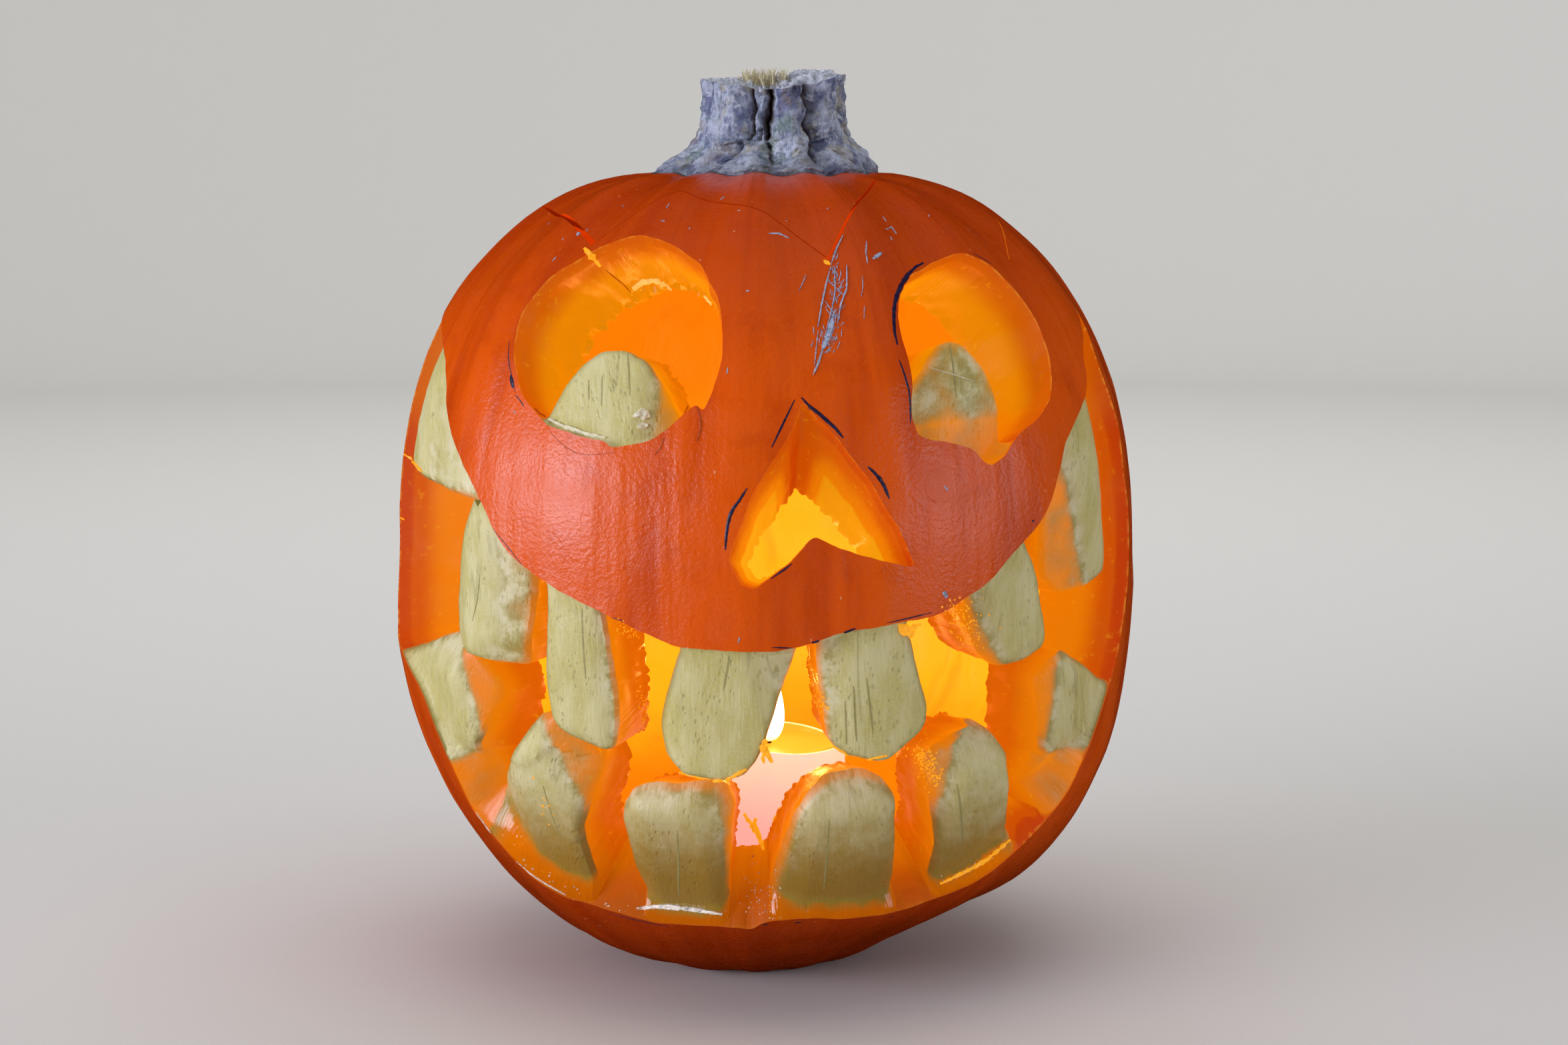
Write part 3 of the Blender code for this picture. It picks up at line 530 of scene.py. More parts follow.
def outline(corners, rounding, step):
    """A closed outline through the corners, each rounded off over its share of the sides."""
    places = []
    for i, corner in enumerate(corners):
        start = between(corner, corners[i - 1], rounding / 2)
        end = between(corner, corners[(i + 1) % len(corners)], rounding / 2)
        turns = max(1, math.ceil((spacing(start, corner) + spacing(corner, end)) / step))
        for turn in range(turns + 1):
            t = turn / turns
            places.append(between(between(start, corner, t), between(corner, end, t), t))
        after = corners[(i + 1) % len(corners)]
        ahead = between(after, corner, rounding / 2)
        runs = math.ceil(spacing(end, ahead) / step)
        places += [between(end, ahead, run / runs) for run in range(1, runs)]
    closest = step / 3
    kept = []
    for place in places:
        if not kept or spacing(place, kept[-1]) > closest:
            kept.append(place)
    while spacing(kept[0], kept[-1]) < closest:
        kept.pop()
    return unsteady(np.array(kept))


def unsteady(places):
    """The same outline as an unsteady hand cuts it."""
    across, along = (
        layered(flat(places), (*SWAY, seed), (*TREMBLE, seed + 1)) for seed in (1, 3)
    )
    return places + np.stack((across, along), 1)


def crossings_above(places, segments):
    """How many of the segments lie straight above each place."""
    count = np.zeros(len(places), int)
    a, b = segments[:, 0], segments[:, 1]
    run = np.where(a[:, 0] == b[:, 0], SLIGHT, b[:, 0] - a[:, 0])
    slope = (b[:, 1] - a[:, 1]) / run
    for start in range(0, len(places), CHUNK):
        x, y = places[start:start + CHUNK].T
        over = (a[:, 0, None] > x) != (b[:, 0, None] > x)
        at = a[:, 1, None] + (x - a[:, 0, None]) * slope[:, None]
        count[start:start + CHUNK] = (over & (y < at)).sum(0)
    return count


def inside(places, ring):
    """Which places lie inside a closed ring of places."""
    found = np.zeros(len(places), bool)
    near = np.flatnonzero(((places >= ring.min(0)) & (places <= ring.max(0))).all(1))
    sides = np.stack((ring, np.roll(ring, -1, 0)), 1)
    found[near] = crossings_above(places[near][:, ::-1], sides[:, :, ::-1]) % 2 == 1
    return found


def mercator(places):
    """The flat map in which the body is triangulated: it keeps angles."""
    lon, lat = np.asarray(places, float).T
    return np.stack((lon, np.degrees(np.arcsinh(np.tan(np.radians(lat))))), 1)


def from_mercator(flat):
    lon, up = np.asarray(flat, float).T
    return np.stack((lon, np.degrees(np.arctan(np.sinh(np.radians(up))))), 1)


def polar(places):
    """The flat map in which the lid is triangulated, with the pole in its middle."""
    lon, lat = np.asarray(places, float).T
    a = np.radians(lon)
    return np.stack(((90 - lat) * np.sin(a), -(90 - lat) * np.cos(a)), 1)


def from_polar(flat):
    x, y = np.asarray(flat, float).T
    return np.stack((np.degrees(np.arctan2(x, -y)), 90 - np.hypot(x, y)), 1)


def triangulate(flat, edges):
    """Points, triangles and each point's origins, of a flat map cut along the edges."""
    flat = [Vector(point) for point in flat.tolist()]
    points, _, faces, origins, *_ = delaunay_2d_cdt(flat, edges, [], 0, CDT_GRAIN)
    return np.array([tuple(point) for point in points]), faces, origins


def ring_edges(first, count):
    return [(first + i, first + (i + 1) % count) for i in range(count)]


def tree_of(places):
    """A search tree over places on the globe."""
    tree = kdtree.KDTree(len(places))
    for i, point in enumerate(directions(places).tolist()):
        tree.insert(point, i)
    tree.balance()
    return tree


def distance_to(places, tree):
    """Distance in degrees from each place to the nearest in the tree, and that one's number."""
    found = [tree.find(point) for point in directions(places).tolist()]
    return np.degrees([hit[2] for hit in found]), np.array([hit[1] for hit in found])


def lattice(step, low, high):
    """Rows of places between two latitudes, clear of the slit down the back."""
    rows = round((high - low) / step)
    places = []
    for row in range(rows + 1):
        lat = low + (high - low) * row / rows
        count = max(FEWEST_IN_ROW, round(360 * math.cos(math.radians(lat)) / step))
        width = 360 / count
        lon = (np.arange(count) + 0.5 * (row % 2)) * width - BACK
        lon = lon[BACK - np.abs(lon) > width * SLIT_CLEAR]
        places.append(np.stack((lon, np.full(len(lon), lat)), 1))
    return np.concatenate(places)


def back_places(step, low, high):
    """Places down both sides of the slit at the back, clear of its upper end."""
    rows = round((high - low) / step)
    lat = low + (high - low) * np.arange(rows) / rows
    return np.concatenate([np.stack((np.full(rows, side), lat), 1) for side in (-BACK, BACK)])


# ---------------------------------------------------------------- the pumpkin's form

# Ribs: how many, their turn in degrees, and their depth in metres all over and round the top
RIBS, RIB_PHASE = 15, 40.0
RIB_DEPTH, TOP_RIB_DEPTH = 0.0008, 0.0012
TOP_RIBS_AT, TOP_RIBS_REACH = 60.0, 22.0
RIB_FADE = 0.35
# Powers of the oval: 2 is an ellipse, and more is squarer
UPPER_SQUARENESS, LOWER_SQUARENESS = 2.46, 2.17
# The dimple at the crown in metres, then swellings and losses as shares of the radius, each
# with its latitude and its reach in degrees
DIMPLE_DEPTH, DIMPLE_REACH = 0.011, 14.5
FLANK_SWELL, FLANK_AT, FLANK_REACH = 0.015, -32.0, 20.0
LOW_FLANK_LOSS, LOW_FLANK_AT, LOW_FLANK_REACH = 0.030, -62.0, 12.0
LOW_TAPER, LOW_TAPER_REACH = 0.020, 14.0
SKIN_RELIEF = 0.00035
# Marks of the scraper in the cavity: depth in metres, size on a unit globe, and seed
SCRAPES = ((0.0011, 0.11, 6), (0.0005, 0.035, 7))


class Form:
    """The pumpkin's skin, cavity and cuts as functions of places on the globe."""

    def __init__(self, sizes):
        self.sizes = sizes
        self.core = np.array((0, 0, sizes.core_height))

    def radius(self, places):
        """Distance from the core to the skin: a squared oval, ribbed, dimpled and lopsided."""
        lon, lat = np.asarray(places, float).T
        up, out = np.sin(np.radians(lat)), np.cos(np.radians(lat))
        height = np.where(up >= 0, self.sizes.rise, self.sizes.drop)
        power = np.where(up >= 0, UPPER_SQUARENESS, LOWER_SQUARENESS)
        oval = (np.abs(up) / height) ** power + (out / self.sizes.body_radius) ** power
        dimple = DIMPLE_DEPTH * hump(lat, 90, DIMPLE_REACH)
        top_ribs = TOP_RIB_DEPTH * hump(lat, TOP_RIBS_AT, TOP_RIBS_REACH)
        ribs = (RIB_DEPTH + top_ribs) * np.minimum(1, out / RIB_FADE)
        ribbing = ribs * (1 - np.cos(np.radians(RIBS * lon + RIB_PHASE))) / 2
        swell = FLANK_SWELL * hump(lat, FLANK_AT, FLANK_REACH)
        loss = LOW_FLANK_LOSS * hump(lat, LOW_FLANK_AT, LOW_FLANK_REACH)
        flank = np.sin(np.radians(lon)) * (swell - loss)
        taper = LOW_TAPER * hump(lat, LOW_FLANK_AT, LOW_TAPER_REACH)
        return (oval ** (-1 / power) - dimple - ribbing) * (1 + flank - taper)

    def points(self, places, radius, floor=0.0):
        found = directions(places) * np.asarray(radius)[:, None] + self.core
        found[:, 2] = np.maximum(found[:, 2], floor)
        return found

    def skin(self, places, depth=0.0):
        """Points at a depth under the skin, with the skin's slow unevenness."""
        way = directions(places)
        relief = SKIN_RELIEF * (1.0 + rough(way, 0.16, 5))
        return self.points(places, self.radius(places) - depth - relief)

    def cavity_radius(self, places):
        scraping = layered(directions(places), *SCRAPES)
        return self.radius(places) - self.sizes.wall + scraping

    def cavity(self, places):
        return self.points(places, self.cavity_radius(places), self.sizes.cavity_floor)


def within(value, span):
    return (span[0] < value) & (value < span[1])


def inward(places):
    """Where a cut that enters the skin at these places leaves it in the cavity."""
    lon, lat = np.asarray(places, float).T
    inner_lon, inner_lat = lon.copy(), lat - TIP_DIP * hump(lat, TIP_DIP_AT, TIP_DIP_REACH)
    nose = within(lon, NOSE_SPAN[0]) & within(lat, NOSE_SPAN[1])
    for inner, value, k in ((inner_lon, lon, 0), (inner_lat, lat, 1)):
        inner[nose] = NOSE_MIDDLE[k] + (value[nose] - NOSE_MIDDLE[k]) * NOSE_SHRINK[k]
    eye = (lat > EYE_FOOT) & (within(lon, LEFT_EYE_SPAN) | within(lon, RIGHT_EYE_SPAN))
    inner_lat[eye] = lat[eye] + EYE_RISE * np.minimum(1, (lat[eye] - EYE_FOOT) / EYE_RISE_SPAN)
    seam = lat > seam_latitude(lon) - 0.01
    inner_lon[seam] = lon[seam]
    inner_lat[seam] = lat[seam] + SEAM_SLANT
    return np.stack((inner_lon, inner_lat), 1)


# ---------------------------------------------------------------- meshes

# What each corner of a mesh is marked with, from 0 to 1, for the materials to read
# Of these, shut carries painted shade, in the lid's shut cut and in the stem's crevices; on the stem,
# wet carries its relief for painted shade and highlight
MARKS = ("depth", "cream", "pale", "wet", "shut")
# How deep a peeled front's rim, the walls behind it and the walls behind the skin count as
RIM_DEPTH, TOOTH_DEPTH, FULL_DEPTH = 0.80, 0.42, 0.84


class Solid:
    """Corner points, each under a name of its own with its marks, and the faces between them."""

    def __init__(self):
        self.index = {}
        self.points = []
        self.marks = []
        self.faces = []
        self.slots = []

    def corner(self, key, point, **marks):
        if key not in self.index:
            self.index[key] = len(self.points)
            self.points.append(point)
            self.marks.append([marks.get(mark, 0.0) for mark in MARKS])

    def face(self, keys, slot=0):
        self.faces.append([self.index[key] for key in keys])
        self.slots.append(slot)

    def wall(self, a, b, layers, slot):
        """Faces from layer to layer beside the edge that runs from a to b."""
        for upper, lower in zip(layers, layers[1:]):
            self.face(((b, upper), (a, upper), (a, lower), (b, lower)), slot)

    def build(self, name, materials, sharp=40.0):
        mesh = bpy.data.meshes.new(name)
        mesh.from_pydata([tuple(point) for point in self.points], [], self.faces)
        for material in materials:
            mesh.materials.append(material)
        mesh.polygons.foreach_set("material_index", np.array(self.slots, np.int32))
        marks = np.array(self.marks, np.float32)
        for k, mark in enumerate(MARKS):
            layer = mesh.attributes.new(mark, "FLOAT", "POINT")
            layer.data.foreach_set("value", np.ascontiguousarray(marks[:, k]))
        mesh.shade_smooth()
        mesh.set_sharp_from_angle(angle=math.radians(sharp))
        piece = bpy.data.objects.new(name, mesh)
        bpy.context.scene.collection.objects.link(piece)
        return piece


def add_places_mark(piece, form):
    """Stores east and north distances over the skin, in metres, for streaks that run up and down."""
    points = np.empty(len(piece.data.vertices) * 3, np.float32)
    piece.data.vertices.foreach_get("co", points)
    way = points.reshape(-1, 3) - form.core
    lat = np.arctan2(way[:, 2], np.hypot(way[:, 0], way[:, 1]))
    lon = np.arctan2(way[:, 0], -way[:, 1])
    radius = form.sizes.body_radius
    spot = np.stack((lon * radius * np.cos(lat), lat * radius, np.zeros(len(lat))), 1)
    layer = piece.data.attributes.new("spot", "FLOAT_VECTOR", "POINT")
    layer.data.foreach_set("vector", spot.astype(np.float32).ravel())


# ---------------------------------------------------------------- the body


def openings():
    """Each opening's outline with what is left standing in it: its outline and its facets."""
    def cut(corners, rounding):
        return outline(corners, rounding, OUTLINE_STEP)

    def left(corners, facets, rounding):
        ring = cut(corners, rounding)
        lower = ring[:, 1].mean() < LOWER_TEETH
        return beside(ring, -TONGUE_MARGIN * (2 if lower else 1)), facets

    return (
        (
            cut(MASK_EDGE + LIP_EDGE, MOUTH_ROUNDING),
            [left(*tooth, TOOTH_ROUNDING) for tooth in TEETH],
        ),
        (cut(LEFT_EYE, EYE_ROUNDING), [left(*LEFT_PUPIL, PUPIL_ROUNDING)]),
        (cut(RIGHT_EYE, EYE_ROUNDING), [left(*RIGHT_PUPIL, PUPIL_ROUNDING)]),
        (cut(NOSE, NOSE_ROUNDING), []),
    )


def beside(ring, distance):
    """Places beside a closed ring at a distance in degrees, inwards where it is positive."""
    stretch = np.cos(np.radians(ring[:, 1]))
    along = np.roll(ring, -1, 0) - np.roll(ring, 1, 0)
    along[:, 0] *= stretch
    along /= np.linalg.norm(along, axis=1)[:, None]
    turning = np.sum(ring[:, 0] * np.roll(ring[:, 1], -1) - np.roll(ring[:, 0], -1) * ring[:, 1])
    side = distance * math.copysign(1, turning)
    return ring + np.stack((-along[:, 1] / stretch, along[:, 0]), 1) * side


def add_clear(kept, more, closest):
    """The places kept so far, and those of more that lie clear of them."""
    tree = tree_of(kept)
    return np.concatenate((kept, more[distance_to(more, tree)[0] > closest]))


def standing(places, cuts):
    """Which places lie on a tooth or a pupil, and which in an opening at all."""
    on_tongue, in_opening = np.zeros(len(places), bool), np.zeros(len(places), bool)
    for opening, tongues in cuts:
        held = inside(places, opening)
        in_opening |= held
        for tongue, _ in tongues:
            on_tongue |= held & inside(places, tongue)
    return on_tongue, in_opening


def body_map(cuts):
    """The flat map of the body's skin, cut along the seam and every outline."""
    places, edges = [], []
    for opening, tongues in cuts:
        edges += ring_edges(len(places), len(opening))
        places += opening.tolist()
        for tongue, _ in tongues:
            first = len(places)
            held = inside(tongue, opening)
            places += tongue.tolist()
            edges += [
                (a, b)
                for a, b in ring_edges(first, len(tongue))
                if held[a - first] or held[b - first]
            ]
    seam = len(places)
    places += SEAM_LINE.tolist()
    edges += [(seam + i, seam + i + 1) for i in range(len(SEAM_LINE) - 1)]
    used = sorted({i for edge in edges for i in edge})
    renumber = {old: new for new, old in enumerate(used)}
    edges = [(renumber[a], renumber[b]) for a, b in edges]
    kept = np.array(places)[used]
    rings = [opening for opening, _ in cuts] + [t for _, tongues in cuts for t, _ in tongues]
    for reach in BAND_STEPS:
        bands = np.concatenate([beside(ring, side) for ring in rings for side in (reach, -reach)])
        on_tongue, in_opening = standing(bands, cuts)
        below = bands[:, 1] < seam_latitude(bands[:, 0]) - SEAM_MARGIN
        kept = add_clear(kept, bands[below & (on_tongue | ~in_opening)], reach * BAND_CLEAR)
    fine = lattice(FINE_STEP, *FRONTS_SPAN)
    kept = add_clear(kept, fine[standing(fine, cuts)[0]], FINE_STEP * FINE_CLEAR)
    fill = lattice(SKIN_STEP, BASE_LATITUDE, SKIN_TOP)
    kept = add_clear(kept, fill, SKIN_STEP * FILL_CLEAR)
    kept = np.concatenate((kept, back_places(SKIN_STEP, BASE_LATITUDE, SEAM[0][1])))
    points, faces, _ = triangulate(mercator(kept), edges)
    return from_mercator(points), faces


def regions(middles, cuts):
    """What the flat map holds at each place: skin, front, a hole, or the lid above the seam."""
    on_tongue, in_opening = standing(middles, cuts)
    kinds = np.where(in_opening, np.where(on_tongue, FRONT, "hole"), SKIN)
    kinds[middles[:, 1] > seam_latitude(middles[:, 0])] = "lid"
    return kinds


def twins(places):
    """For each place, its number, or that of its twin on the other side of the back slit."""
    left = {round(p[1], 2): i for i, p in enumerate(places) if abs(p[0] + BACK) < 1e-4}
    return [
        left.get(round(p[1], 2), i) if abs(p[0] - BACK) < 1e-4 else i
        for i, p in enumerate(places)
    ]


def rim_normals(places, rim):
    """At each rim place, the unit direction over the globe from the flesh into the opening."""
    total = np.zeros((len(places), 2))
    for a, b in rim:
        run = places[b] - places[a]
        way = np.array((run[1], -run[0] * math.cos(math.radians(places[a][1]))))
        way /= max(np.linalg.norm(way), 1e-9)
        total[a] += way
        total[b] += way
    size = np.linalg.norm(total, axis=1)
    return total / np.maximum(size, 1e-9)[:, None]


# How many neighbours are asked for the wall across, what counts as facing it, and the share of
# the gap that each side may use
ASKED, FACING, ROOM_SHARE = 14, -0.1, 0.28


def calm(places, normals, most):
    """The most that each place may move along its normal without meeting the wall across."""
    tree = tree_of(places)
    room = np.full(len(places), most)
    for i, point in enumerate(directions(places).tolist()):
        for _, j, gap in tree.find_n(point, ASKED):
            if normals[i] @ normals[j] < FACING:
                room[i] = min(room[i], ROOM_SHARE * math.degrees(gap))
    return room


# How far past a facet's start, in metres, the light begins and is full
LIT_SPAN = (0.0016, 0.0080)
# How far outside a tooth's outline its facets are still worked out, in degrees
FACET_MARGIN = 0.6
# Width in millimetres of the wet ledge under the lower teeth, by longitude
LEDGE = ((-64, 12), (-52, 10), (-40, 7), (-27, 3), (24, 2.6), (40, 3.2), (60, 5))
# Where the knife went in beside the upper and the lower fronts, in metres under the skin
UPPER_START, LOWER_START = 0.0013, 0.0005
# How much more the lower fronts' edges are rounded off, and how unevenly all are
LOW_BEVEL, BEVEL_UNEVENNESS = 1.2, 0.45
STREAK_DEPTH, WAVE_DEPTH, FLAT_FROM = 0.00016, 0.0004, 0.004


def facet_depths(form, places, cuts):
    """How much deeper the knife's facets are than each tooth's middle, and the light in them."""
    metre = math.radians(1) * form.sizes.body_radius
    depth, light = np.zeros(len(places)), np.zeros(len(places))
    for opening, tongues in cuts:
        for tongue, facets in tongues:
            middle = tongue[inside(tongue, opening)].mean(0)
            near = np.flatnonzero(inside(places, beside(tongue, -FACET_MARGIN)))
            east = (places[near, 0] - middle[0]) * np.cos(np.radians(places[near, 1])) * metre
            north = (places[near, 1] - middle[1]) * metre
            for toward, start, slope, lit in facets:
                a = math.radians(toward)
                past = east * math.cos(a) + north * math.sin(a) - start / 1000
                depth[near] = np.maximum(depth[near], slope * past)
                light[near] = np.maximum(light[near], lit * smooth(past, *LIT_SPAN))
    return depth, light


def front_depths(form, places, facets, from_skin, low, from_rim):
    """Depth of the peeled fronts: a ledge below the skin's edge, flats, and rounded edges."""
    sizes = form.sizes
    full = sizes.peeled_depth + (sizes.low_peeled_depth - sizes.peeled_depth) * low
    start = UPPER_START - (UPPER_START - LOWER_START) * low
    run = 0.0016 + low * read_off(LEDGE, places[:, 0]) / 1300
    ledge = start + (full + facets - start) * smooth(from_skin / run, 0, 1)
    uneven = 1 + BEVEL_UNEVENNESS * flat_rough(places, 7.0, 11)
    bevel = sizes.bevel * (1 + LOW_BEVEL * low) * uneven
    share = 1 - np.clip(from_rim / bevel, 0, 1)
    rounding = bevel * (1 - np.sqrt(np.maximum(1 - share**2, 0)))
    streaks = STREAK_DEPTH * rough(flat(places) * (0.8, 0.16, 1), 1.0, 12)
    waves = WAVE_DEPTH * flat_rough(places, 9.0, 13, 1)
    return ledge + rounding + (streaks + waves) * smooth(from_skin, 0, FLAT_FROM)


# Latitudes south between which the fronts turn into the lower lip's, into the lower teeth's at
# all, and into the wet ledge
LOW_FRONTS, LOW_ANYWHERE, WET_LEDGE = (20, 33), (8, 16), (33, 40)
LOW_ONLY_PAST = 24


def make_shell(form, materials):
    """The pumpkin's body: skin, peeled tooth fronts, the walls of every cut, and the cavity."""
    cuts = openings()
    places, faces = body_map(cuts)
    twin = twins(places)
    middles = np.array([places[face].mean(0) for face in faces])
    kinds = regions(middles, cuts)
    neighbours = {}
    for face, kind in zip(faces, kinds):
        for a, b in zip(face, face[1:] + face[:1]):
            neighbours[a, b] = kind
    rim, ledge_edges = [], []
    for (a, b), kind in neighbours.items():
        other = neighbours.get((b, a))
        if kind not in (SKIN, FRONT) or other is None or other == kind:
            continue
        if other == FRONT:
            ledge_edges.append((a, b))
        elif other != SKIN:
            rim.append((a, b, kind))
    skin_edge = sorted({i for edge in ledge_edges for i in edge})
    open_edge = sorted({i for a, b, kind in rim if kind == FRONT for i in (a, b)})
    metre = math.radians(1) * form.sizes.body_radius
    skin_gap, nearest = distance_to(places, tree_of(places[skin_edge]))
    rim_gap, _ = distance_to(places, tree_of(places[open_edge]))
    south, edge_south = -places[:, 1], -places[skin_edge][nearest][:, 1]
    low = smooth(edge_south, *LOW_FRONTS)
    low = np.maximum(low, smooth(south, *LOW_ANYWHERE) * (south > LOW_ONLY_PAST))
    facets, light = facet_depths(form, places, cuts)
    from_skin, from_rim = skin_gap * metre, rim_gap * metre
    fronts = front_depths(form, places, facets, from_skin, low, from_rim)
    run = read_off(LEDGE, places[:, 0]) / 1000 + 0.0007 * flat_rough(places, 3.0, 14)
    at_lip = smooth(edge_south, *WET_LEDGE)
    light = np.clip(light + 0.16 * flat_rough(places, 4.0, 16) * (light > 0), 0, 1)
    # Less cream near the rounded rims, where the material paints a darker olive shade, and none where
    # light comes through
    cream = (0.45 + 0.55 * smooth(from_rim, 0.0, 0.0030)) * (1 - light)
    cream *= 1 - at_lip * (1 - smooth(from_skin, run * 0.4, run * 1.7))
    # Whitish where light partly comes through the facets, a painted light, and on the lower teeth their
    # own whitish tone
    pale = np.maximum(hump(light, 0.35, 0.3) * smooth(light, 0, 0.2), 0.35 * low)
    wet = at_lip * (1 - smooth(from_skin, run * 0.8, run * 1.6))
    skin_points = form.skin(places)
    front_points = form.skin(places, fronts)
    solid = Solid()
    for face, kind in zip(faces, kinds):
        if kind not in (SKIN, FRONT):
            continue
        for i in (twin[i] for i in face):
            if kind == SKIN:
                solid.corner((i, kind), skin_points[i])
            else:
                marks = {"cream": cream[i], "pale": pale[i], "wet": wet[i]}
                solid.corner((i, kind), front_points[i], depth=RIM_DEPTH, **marks)
        solid.face([(twin[i], kind) for i in face], SKIN_SLOT if kind == SKIN else WALL_SLOT)
    for a, b in ledge_edges:
        solid.wall(twin[a], twin[b], (SKIN, FRONT), WALL_SLOT)
    inner = cut_walls(form, solid, places, twin, rim, front_points)
    line_cavity(form, solid, inner, rim, twin)
    base = [i for i, p in enumerate(places) if abs(p[1] - BASE_LATITUDE) < 1e-3 and twin[i] == i]
    base.sort(key=lambda i: -places[i][0])
    solid.face([(i, SKIN) for i in base], SKIN_SLOT)
    piece = solid.build("pumpkin_body", materials)
    add_places_mark(piece, form)
    return piece


# The knife's slow drift in a cut in degrees, and how far the cut's width counts for the noise
DRIFT, CUT_LENGTH = 0.30, 13
FRAY, FRAYED_FROM = 0.75, 0.72


def knife_drift(way, share):
    """Points for the noise along a cut, and how far the knife has drifted off in it."""
    trail = np.column_stack((way, np.full(len(way), share * CUT_LENGTH)))
    return trail, DRIFT * rough(trail, 4.2, 21, 3) * smooth(share, 0, 0.12)


def knife_way(chosen, ends, normals, room, torn, share):
    """Where a cut that starts at these places has got to, a share of the way in."""
    way = chosen + (ends - chosen) * share
    trail, drift = knife_drift(way, share)
    fray = rough(trail, 1.1, 22, 3) + 0.5 * np.abs(rough(trail, 2.6, 23))
    shift = (drift + fray * FRAY * smooth(share, FRAYED_FROM, 1)) * torn
    shift = np.clip(shift, -room, room)[:, None]
    stretch = np.cos(np.radians(chosen[:, 1]))
    return way + np.stack((normals[:, 0] / stretch, normals[:, 1]), 1) * shift


UNTANGLINGS, TANGLED_WITHIN, CALMED = 8, 2.5, 0.4


def untangle(chosen, ends, normals, room, torn, edges):
    """Calms the tearing wherever the inner edges would cross each other."""
    for _ in range(UNTANGLINGS):
        inner = knife_way(chosen, ends, normals, room, torn, 1.0)
        points, _, origins = triangulate(mercator(inner), edges)
        met = [i for i, found in enumerate(origins) if len(found) != 1]
        if not met:
            return
        gap, _ = distance_to(inner, tree_of(from_mercator(points[met])))
        room[gap < TANGLED_WITHIN] *= CALMED


# How much painted shade darkens the lid's cut even where it gapes, and the gaps in degrees from shut to
# gaping
SEAM_DARK, SHUT_GAPS = 0.5, (0.26, 0.42)
# Where the nose's tip is, how far round it light stays out, and how much its walls glow
NOSE_TOP, NOSE_DARK, NOSE_DEPTH = (5.0, 28.5), (1, 7), 0.94
# The most that a wall may wander in degrees, and how torn the seam, the eye and the rest are
MOST_ROOM = 1.2
SEAM_TORN, EYE_TORN, USUALLY_TORN = 0.15, 2.4, 1.0


def seam_shade(lon):
    """How much painted shade darkens the seam at these longitudes, from where it gapes to where it is
    shut.
    """
    return SEAM_DARK + (1 - SEAM_DARK) * (1 - smooth(seam_gap(lon), *SHUT_GAPS))


def of_nose(places):
    return within(places[:, 0], NOSE_SPAN[0]) & within(places[:, 1], NOSE_SPAN[1])


def cut_walls(form, solid, places, twin, rim, front_points):
    """The knife-cut walls of every opening, with a torn inner edge; returns the inner places."""
    edges = [(a, b) for a, b, _ in rim]
    numbers = sorted({i for edge in edges for i in edge})
    at = {number: k for k, number in enumerate(numbers)}
    chosen = places[numbers]
    normals = rim_normals(places, edges)[numbers]
    ends = inward(chosen)
    room = calm(ends, normals, MOST_ROOM)
    at_seam = chosen[:, 1] > seam_latitude(chosen[:, 0]) - 0.01
    normals[at_seam] = (0, 1)
    torn = np.where(at_seam, SEAM_TORN, USUALLY_TORN)
    torn[within(chosen[:, 0], LEFT_EYE_SPAN) & (chosen[:, 1] > LEFT_EYE_TORN)] = EYE_TORN
    untangle(chosen, ends, normals, room, torn, [(at[a], at[b]) for a, b in edges])
    # Painted shade for the seam's walls, none for the rest
    shut = seam_shade(chosen[:, 0]) * at_seam
    on_skin = {i for a, b, kind in rim if kind == SKIN for i in (a, b)}
    rim_depth = [0.0 if number in on_skin else RIM_DEPTH for number in numbers]
    full_depth = np.array([FULL_DEPTH if number in on_skin else TOOTH_DEPTH for number in numbers])
    full_depth[of_nose(chosen)] = NOSE_DEPTH
    full_depth *= 0.05 + 0.95 * smooth(np.hypot(*(chosen - NOSE_TOP).T), *NOSE_DARK)
    outer_radius = np.linalg.norm(front_points[numbers] - form.core, axis=1)
    for k, share in enumerate(WALL_SHARES):
        moved = knife_way(chosen, ends, normals, room, torn, share)
        if k == len(WALL_SHARES) - 1:
            points = form.cavity(moved)
        else:
            radius = outer_radius + (form.cavity_radius(moved) - outer_radius) * share
            points = form.points(moved, radius, form.sizes.cavity_floor * share)
        for i, number in enumerate(numbers):
            deep = rim_depth[i] + (full_depth[i] - rim_depth[i]) * min(1, share * 2)
            solid.corner((twin[number], k), points[i], depth=deep, shut=shut[i])
    for i, number in enumerate(numbers):
        solid.corner((twin[number], FRONT), front_points[number], depth=0.03, shut=shut[i])
    for a, b, kind in rim:
        layers = (SKIN, FRONT) if kind == SKIN else (FRONT,)
        solid.wall(twin[a], twin[b], layers + tuple(range(len(WALL_SHARES))), WALL_SLOT)
    return dict(zip(numbers, moved))


